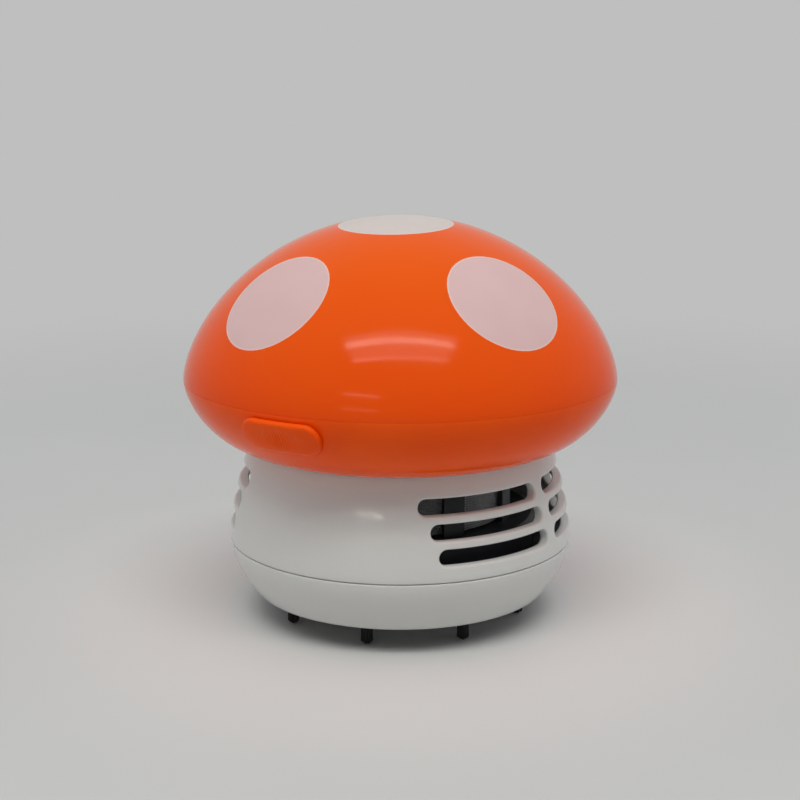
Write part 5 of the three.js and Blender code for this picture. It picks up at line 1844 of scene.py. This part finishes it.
SPRINGS = spring_tree()
for side, direction in (("left", 1), ("right", -1)):
    low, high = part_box("battery_spring_" + side)
    cell_low, cell_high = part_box("battery_cell_" + side)
    middle = middle_of((cell_low, cell_high))
    start = low.y + SPRING_WIRE if direction > 0 else high.y - SPRING_WIRE
    spring = new_object("spring_%s_made" % side, [])
    values = {"Height": high.y - low.y - 2 * SPRING_WIRE, "Material": steel_finish}
    run_tree(spring, SPRINGS, values)
    spring.data.transform(laid_down(middle, start, direction))
    smooth(spring, 60)
    hand_over(faced_outwards(spring), "housing", "steel", "battery_spring_" + side)

# %% [markdown]
# ### The screws
#
# Seven small pan-head screws hold the tray, the clamp and the stem. One screw of each length is drawn
# upright, with a cross recess and a ridged shank. A tree then stands it at each packed screw's place and
# turns each to an angle of its own, as no two screws ever stop at the same angle.


# %% Draw a screw, and the tree that sets screws in their places
SCREW_POINT = 0.1 * MM
RECESS_HALF = 1.15 * MM
RECESS_WIDTH = 0.22 * MM


def drawn_screw(name, length):
    """A pan-head screw whose head stands on the ground plane."""
    head = 2.1 * MM
    core = 0.85 * MM
    crest = 1.1 * MM
    pitch = 0.8 * MM
    outline = [(0, HEAD_HEIGHT), (0.55 * head, 0.96 * HEAD_HEIGHT), (0.9 * head, 0.7 * HEAD_HEIGHT)]
    outline += [(head, 0.3 * HEAD_HEIGHT), (0.97 * head, 0), (crest, 0)]
    turns = int((length - 2 * pitch) / pitch)
    for i in range(turns):
        outline += [(core, -pitch * (i + 0.5)), (crest, -pitch * (i + 1))]
    outline += [(core, -pitch * (turns + 0.5)), (SCREW_POINT, -length), (0, -length)]
    screw = turned(name, softened(outline, FINE_EDGE, 2, False), steel_finish, 40, False)
    recess = [
        block("recess", (-long, -wide, 0.45 * HEAD_HEIGHT), (long, wide, 2 * HEAD_HEIGHT), steel_finish, 0)
        for long, wide in ((RECESS_HALF, RECESS_WIDTH), (RECESS_WIDTH, RECESS_HALF))
    ]
    return combined(screw, recess, "DIFFERENCE")


def screws_tree():
    """A tree that stands a screw at each point, at an angle of its own."""
    tree, given = begin_tree(
        "screws in their places",
        {"Screw": ("Object", None), "Seed": ("Int", 1), "Material": ("Material", None)},
    )
    screw = node(tree, "GeometryNodeObjectInfo", {"Object": given["Screw"]}).outputs["Geometry"]
    limits = {2: 0.0, 3: math.pi, "Seed": given["Seed"]}
    turn = node(tree, "FunctionNodeRandomValue", limits, data_type="FLOAT").outputs[1]
    places = {"Points": given["Geometry"], "Instance": screw, "Rotation": vector_of(tree, Z=turn)}
    end_tree(tree, shaped(tree, "InstanceOnPoints", places), given["Material"])
    return tree


SCREWS = screws_tree()
for seed, (name, boxes) in enumerate(
    (("tray_screw", tray_screws), ("clamp_screw", clamp_screws), ("stem_screw", stem_screws))
):
    seat = boxes[0][1].z - HEAD_HEIGHT
    screw = drawn_screw("screw", seat - boxes[0][0].z)
    places = [(*middle_of(corners).xy, seat) for corners in boxes]
    screws = new_object(name + "s", places)
    run_tree(screws, SCREWS, {"Screw": screw, "Seed": seed, "Material": steel_finish})
    bpy.data.objects.remove(screw, do_unlink=True)
    smooth(screws)
    hand_over(screws, "housing", "steel", *["%s_%d" % (name, i + 1) for i in range(len(boxes))])

# %% [markdown]
# ### The leads
#
# Three short leads join the contacts, the switch and the motor, soldered at both ends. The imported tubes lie
# on the right routes but have eight flat sides. Joining their triangles to quads and subdividing twice
# makes them round, and a blob of solder covers each end.

# %% Make the leads and their solder
LEADS = (
    ("wire_negative", black_lead_finish, "black_insulation"),
    ("wire_positive", red_finish, "red_insulation"),
    ("wire_motor", red_finish, "red_insulation"),
)
LEAD_SIDES = 8
ROUND_WITHIN = 0.05 * MM
SOLDER_RADIUS = 1.15 * MM


def solder_blob(place, facing):
    """A blob of solder, drawn out a little along the lead that ends in it."""
    shape = bmesh.new()
    bmesh.ops.create_icosphere(shape, subdivisions=3, radius=SOLDER_RADIUS)
    for vertex in shape.verts:
        vertex.co.z *= 0.75
        vertex.co *= 1 + 0.07 * math.sin(5 * vertex.co.x / MM + 3 * vertex.co.z / MM)
    turn = facing.to_track_quat("Z", "Y").to_matrix().to_4x4()
    shape.transform(Matrix.Translation(place) @ turn)
    blob = built("solder", shape, solder_finish)
    blob.data.shade_smooth()
    return blob


def is_lead_end(face):
    """Whether a flat face is a lead's end: as many corners as the tube has sides, all on one circle."""
    centre = face.calc_center_median()
    reaches = [(vertex.co - centre).length for vertex in face.verts]
    return len(reaches) == LEAD_SIDES and max(reaches) - min(reaches) < ROUND_WITHIN


blobs = []
for packed, finish, slot in LEADS:
    shape = packed_shape(packed, flat=0)
    whole = packed_shape(packed)
    for face in whole.faces:
        if is_lead_end(face):
            blobs.append(solder_blob(face.calc_center_median(), face.normal.copy()))
    whole.free()
    bmesh.ops.join_triangles(
        shape,
        faces=shape.faces,
        angle_face_threshold=math.radians(60),
        angle_shape_threshold=math.radians(80),
    )
    lead = built(packed + "_made", shape, finish)
    modifier = lead.modifiers.new("round", "SUBSURF")
    modifier.levels = 2
    modifier.render_levels = 2
    flatten(lead)
    lead.data.shade_smooth()
    hand_over(lead, "housing", slot, packed)
print("blobs of solder:", len(blobs))
blobs = combined(blobs[0], blobs[1:])
blobs.name = "solder_joints"
hand_over(blobs, "housing", "steel")

# %% [markdown]
# ## The stage
#
# The photograph was taken on a pale table under soft studio light. The floor is a wide pale sheet. Far from
# the object it turns into the colour of the backdrop, so that no horizon shows. That could be done with more
# light, but then the object would be too bright. So the change is made only for the rays that look at the
# background, directly or in a mirror or glass; the light that the floor gives back stays plain.

# %% The floor, which fades into the backdrop
BACKDROP = paint("#bebfbe")
PAPER_GRAIN = 60 * MM
LIGHT_POOL_START = 0.04  # a pool of painted light: the paper is painted paler close to the object
LIGHT_POOL_END = 0.1
FADE_START = 0.13
FADE_END = 0.4
FLOOR_RINGS = (0, 0.3, 1.0, 4, 20)


def background_share(tree):
    """One for the rays that look at the background, directly or in a mirror or glass; else nothing."""
    rays = node(tree, "ShaderNodeLightPath").outputs
    seen = sums(tree, "MAXIMUM", rays["Is Camera Ray"], rays["Is Glossy Ray"])
    return sums(tree, "MAXIMUM", seen, rays["Is Transmission Ray"])


def floor_finish():
    """Pale matt paper with a pool of painted light round the object, fading into the backdrop's colour with
    distance.
    """
    material, tree, shader, place = begin_finish("pale paper")
    grain = spread(tree, noise(tree, place, PAPER_GRAIN), 0.0, 1.0)
    far = vectors(tree, "LENGTH", place)
    # Painted light: the paper is painted paler near the object, a pool of light that lifts the shadows and the
    # bounce on the object.
    away = ranged(tree, far, LIGHT_POOL_START, LIGHT_POOL_END, soft=True)
    outer = mixed(tree, grain, paint("#c6c9c9"), paint("#c4c7c7"))
    tree.links.new(mixed(tree, away, paint("#d6d7d7"), outer), shader.inputs["Base Color"])
    shader.inputs["Roughness"].default_value = 0.55
    shader.inputs["Specular IOR Level"].default_value = 0.3
    fade = ranged(tree, far, FADE_START, FADE_END, soft=True)
    share = sums(tree, "MULTIPLY", fade, background_share(tree))
    glow = node(tree, "ShaderNodeEmission", {"Color": BACKDROP}).outputs[0]
    both = node(tree, "ShaderNodeMixShader", {0: share, 1: shader.outputs[0], 2: glow}).outputs[0]
    tree.links.new(both, tree.nodes["Material Output"].inputs["Surface"])
    return material


outline = [(radius, 0) for radius in FLOOR_RINGS]
floor = turned("floor", outline, floor_finish(), sides=96, closed=False)
floor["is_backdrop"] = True
print("the floor reaches %d m out" % FLOOR_RINGS[-1])

# %% [markdown]
# ### The light
#
# Gloss shows what stands round an object, so the room is painted as carefully as a finish. It is grey and
# even at the sides, dark where the photographer stands, and bright high up in front, where a soft box hangs.
# Real lamps make the sharp parts: the box itself, its two bright edges, and two thin strips low in front.

# %% Paint the room
scene = bpy.context.scene
world = bpy.data.worlds.new("studio")
world.use_nodes = True
scene.world = world

CAMERA_TURN = 30.75  # degrees from the front towards +X
ROOM_ABOVE = 0.45
ROOM_LEFT = 0.7
ROOM_RIGHT = 0.8
ROOM_BEFORE = 0.04
ROOM_BEHIND = 0.515  # as pale as the backdrop
BOX_RISE = 63
BOX_GLOW = 1.15  # the ceiling round the soft box is lit by it


def light_room(tree):
    """A grey room, bright beside the object and dim where the photographer stands."""
    place = node(tree, "ShaderNodeTexCoord").outputs["Generated"]
    ahead = vectors(tree, "DOT_PRODUCT", place, on_turn(1, CAMERA_TURN))
    aside = vectors(tree, "DOT_PRODUCT", place, on_turn(1, CAMERA_TURN + 90))
    up = parts_of(tree, place)["Z"]
    wall = ranged(tree, aside, -0.7, 0.7, ROOM_LEFT, ROOM_RIGHT)
    beside = ranged(tree, ahead, -0.9, -0.5, ROOM_BEHIND, wall)
    front = ranged(tree, ahead, -0.1, 0.85, beside, ROOM_BEFORE, soft=True)
    above = ranged(tree, up, 0.6, 0.95, front, ROOM_ABOVE, soft=True)
    rise = math.radians(BOX_RISE)
    box = on_turn(math.cos(rise), CAMERA_TURN, math.sin(rise))
    glow = ranged(tree, vectors(tree, "DOT_PRODUCT", place, box), 0.78, 1.0, 0.0, BOX_GLOW, soft=True)
    high = ranged(tree, up, 0.72, 0.8, soft=True)
    level = sums(tree, "ADD", above, sums(tree, "MULTIPLY", glow, high))
    grey = node(tree, "ShaderNodeCombineColor", {0: level, 1: level, 2: level}).outputs[0]
    shown = mixed(tree, background_share(tree), grey, BACKDROP)
    tree.links.new(shown, tree.nodes["Background"].inputs["Color"])


light_room(world.node_tree)

# %% Hang the soft box, its bright edges and two thin strips
LAMP_AIM = Vector((0, 0, 0.06))
BOX_HEIGHT = 0.8  # above the cap
EDGE_HEIGHT = BOX_HEIGHT - 0.01
CAP_HEIGHT = 0.065
BOX_WIDTH = 0.77
STRIP_TURN = 10
STRIP_FAR = 0.9
STRIP_SIZE = (0.28, 0.008)
WARM = (1.0, 0.94, 0.83)


def lamp(name, turn, rise, distance, size, power):
    """A rectangular lamp at a turn and rise seen from the object."""
    data = bpy.data.lights.new(name, "AREA")
    data.shape = "RECTANGLE"
    data.size, data.size_y = size
    data.energy = power
    obj = bpy.data.objects.new(name, data)
    rise = math.radians(rise)
    obj.location = LAMP_AIM + distance * on_turn(math.cos(rise), turn, math.sin(rise))
    obj.rotation_euler = (obj.location - LAMP_AIM).to_track_quat("Z", "Y").to_euler()
    scene.collection.objects.link(obj)
    return obj


def overhead(name, nearest, farthest, height, power):
    """A lamp that lies flat over the object, between two distances from it towards the camera."""
    obj = lamp(name, CAMERA_TURN, 0, 1, (BOX_WIDTH, farthest - nearest), power)
    obj.location = on_turn((nearest + farthest) / 2, CAMERA_TURN, height + CAP_HEIGHT)
    obj.rotation_euler = (0, 0, math.radians(CAMERA_TURN))
    return obj


overhead("soft box", 0.32, 0.65, BOX_HEIGHT, 2.0)
bright = [
    overhead("bright edge of the box", 0.38, 0.44, EDGE_HEIGHT, 1.5),
    overhead("front edge of the box", 0.6, 0.62, EDGE_HEIGHT, 0.4),
    lamp("high strip", STRIP_TURN, 25, STRIP_FAR, STRIP_SIZE, 0.16),
    lamp("low strip", STRIP_TURN, 11, STRIP_FAR, STRIP_SIZE, 0.1),
]
for obj in bright:
    obj.data.color = WARM
print("lamps:", len(bpy.data.lights))

# %% [markdown]
# ### The camera
#
# The camera stands where the photographer stood: the same turn, the same slight look downwards, and a lens
# that gives the same size in the picture. Its place and lens were found by fitting the object's outline.

# %% Set the camera up
CAMERA_PITCH = 12.6  # degrees downwards
CAMERA_PLACE = Vector((0.1677, -0.2820, 0.1168))
camera_data = bpy.data.cameras.new("camera")
camera_data.lens = 73.98
camera_data.sensor_width = 36
camera_data.clip_start = 0.01
camera = bpy.data.objects.new("camera", camera_data)
camera.location = CAMERA_PLACE
camera.rotation_euler = (math.radians(90 - CAMERA_PITCH), 0, math.radians(CAMERA_TURN))
scene.collection.objects.link(camera)
scene.camera = camera
scene.view_settings.view_transform = "Standard"
print("camera %.0f mm from the object" % (CAMERA_PLACE.length / MM))

# %% Compare the size with the imported model
visual_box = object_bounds()
for low_or_high, cad, visual in zip(("low", "high"), cad_box, visual_box):
    print(low_or_high, [round((v - c) / MM, 2) for c, v in zip(cad, visual)], "mm off the packed box")
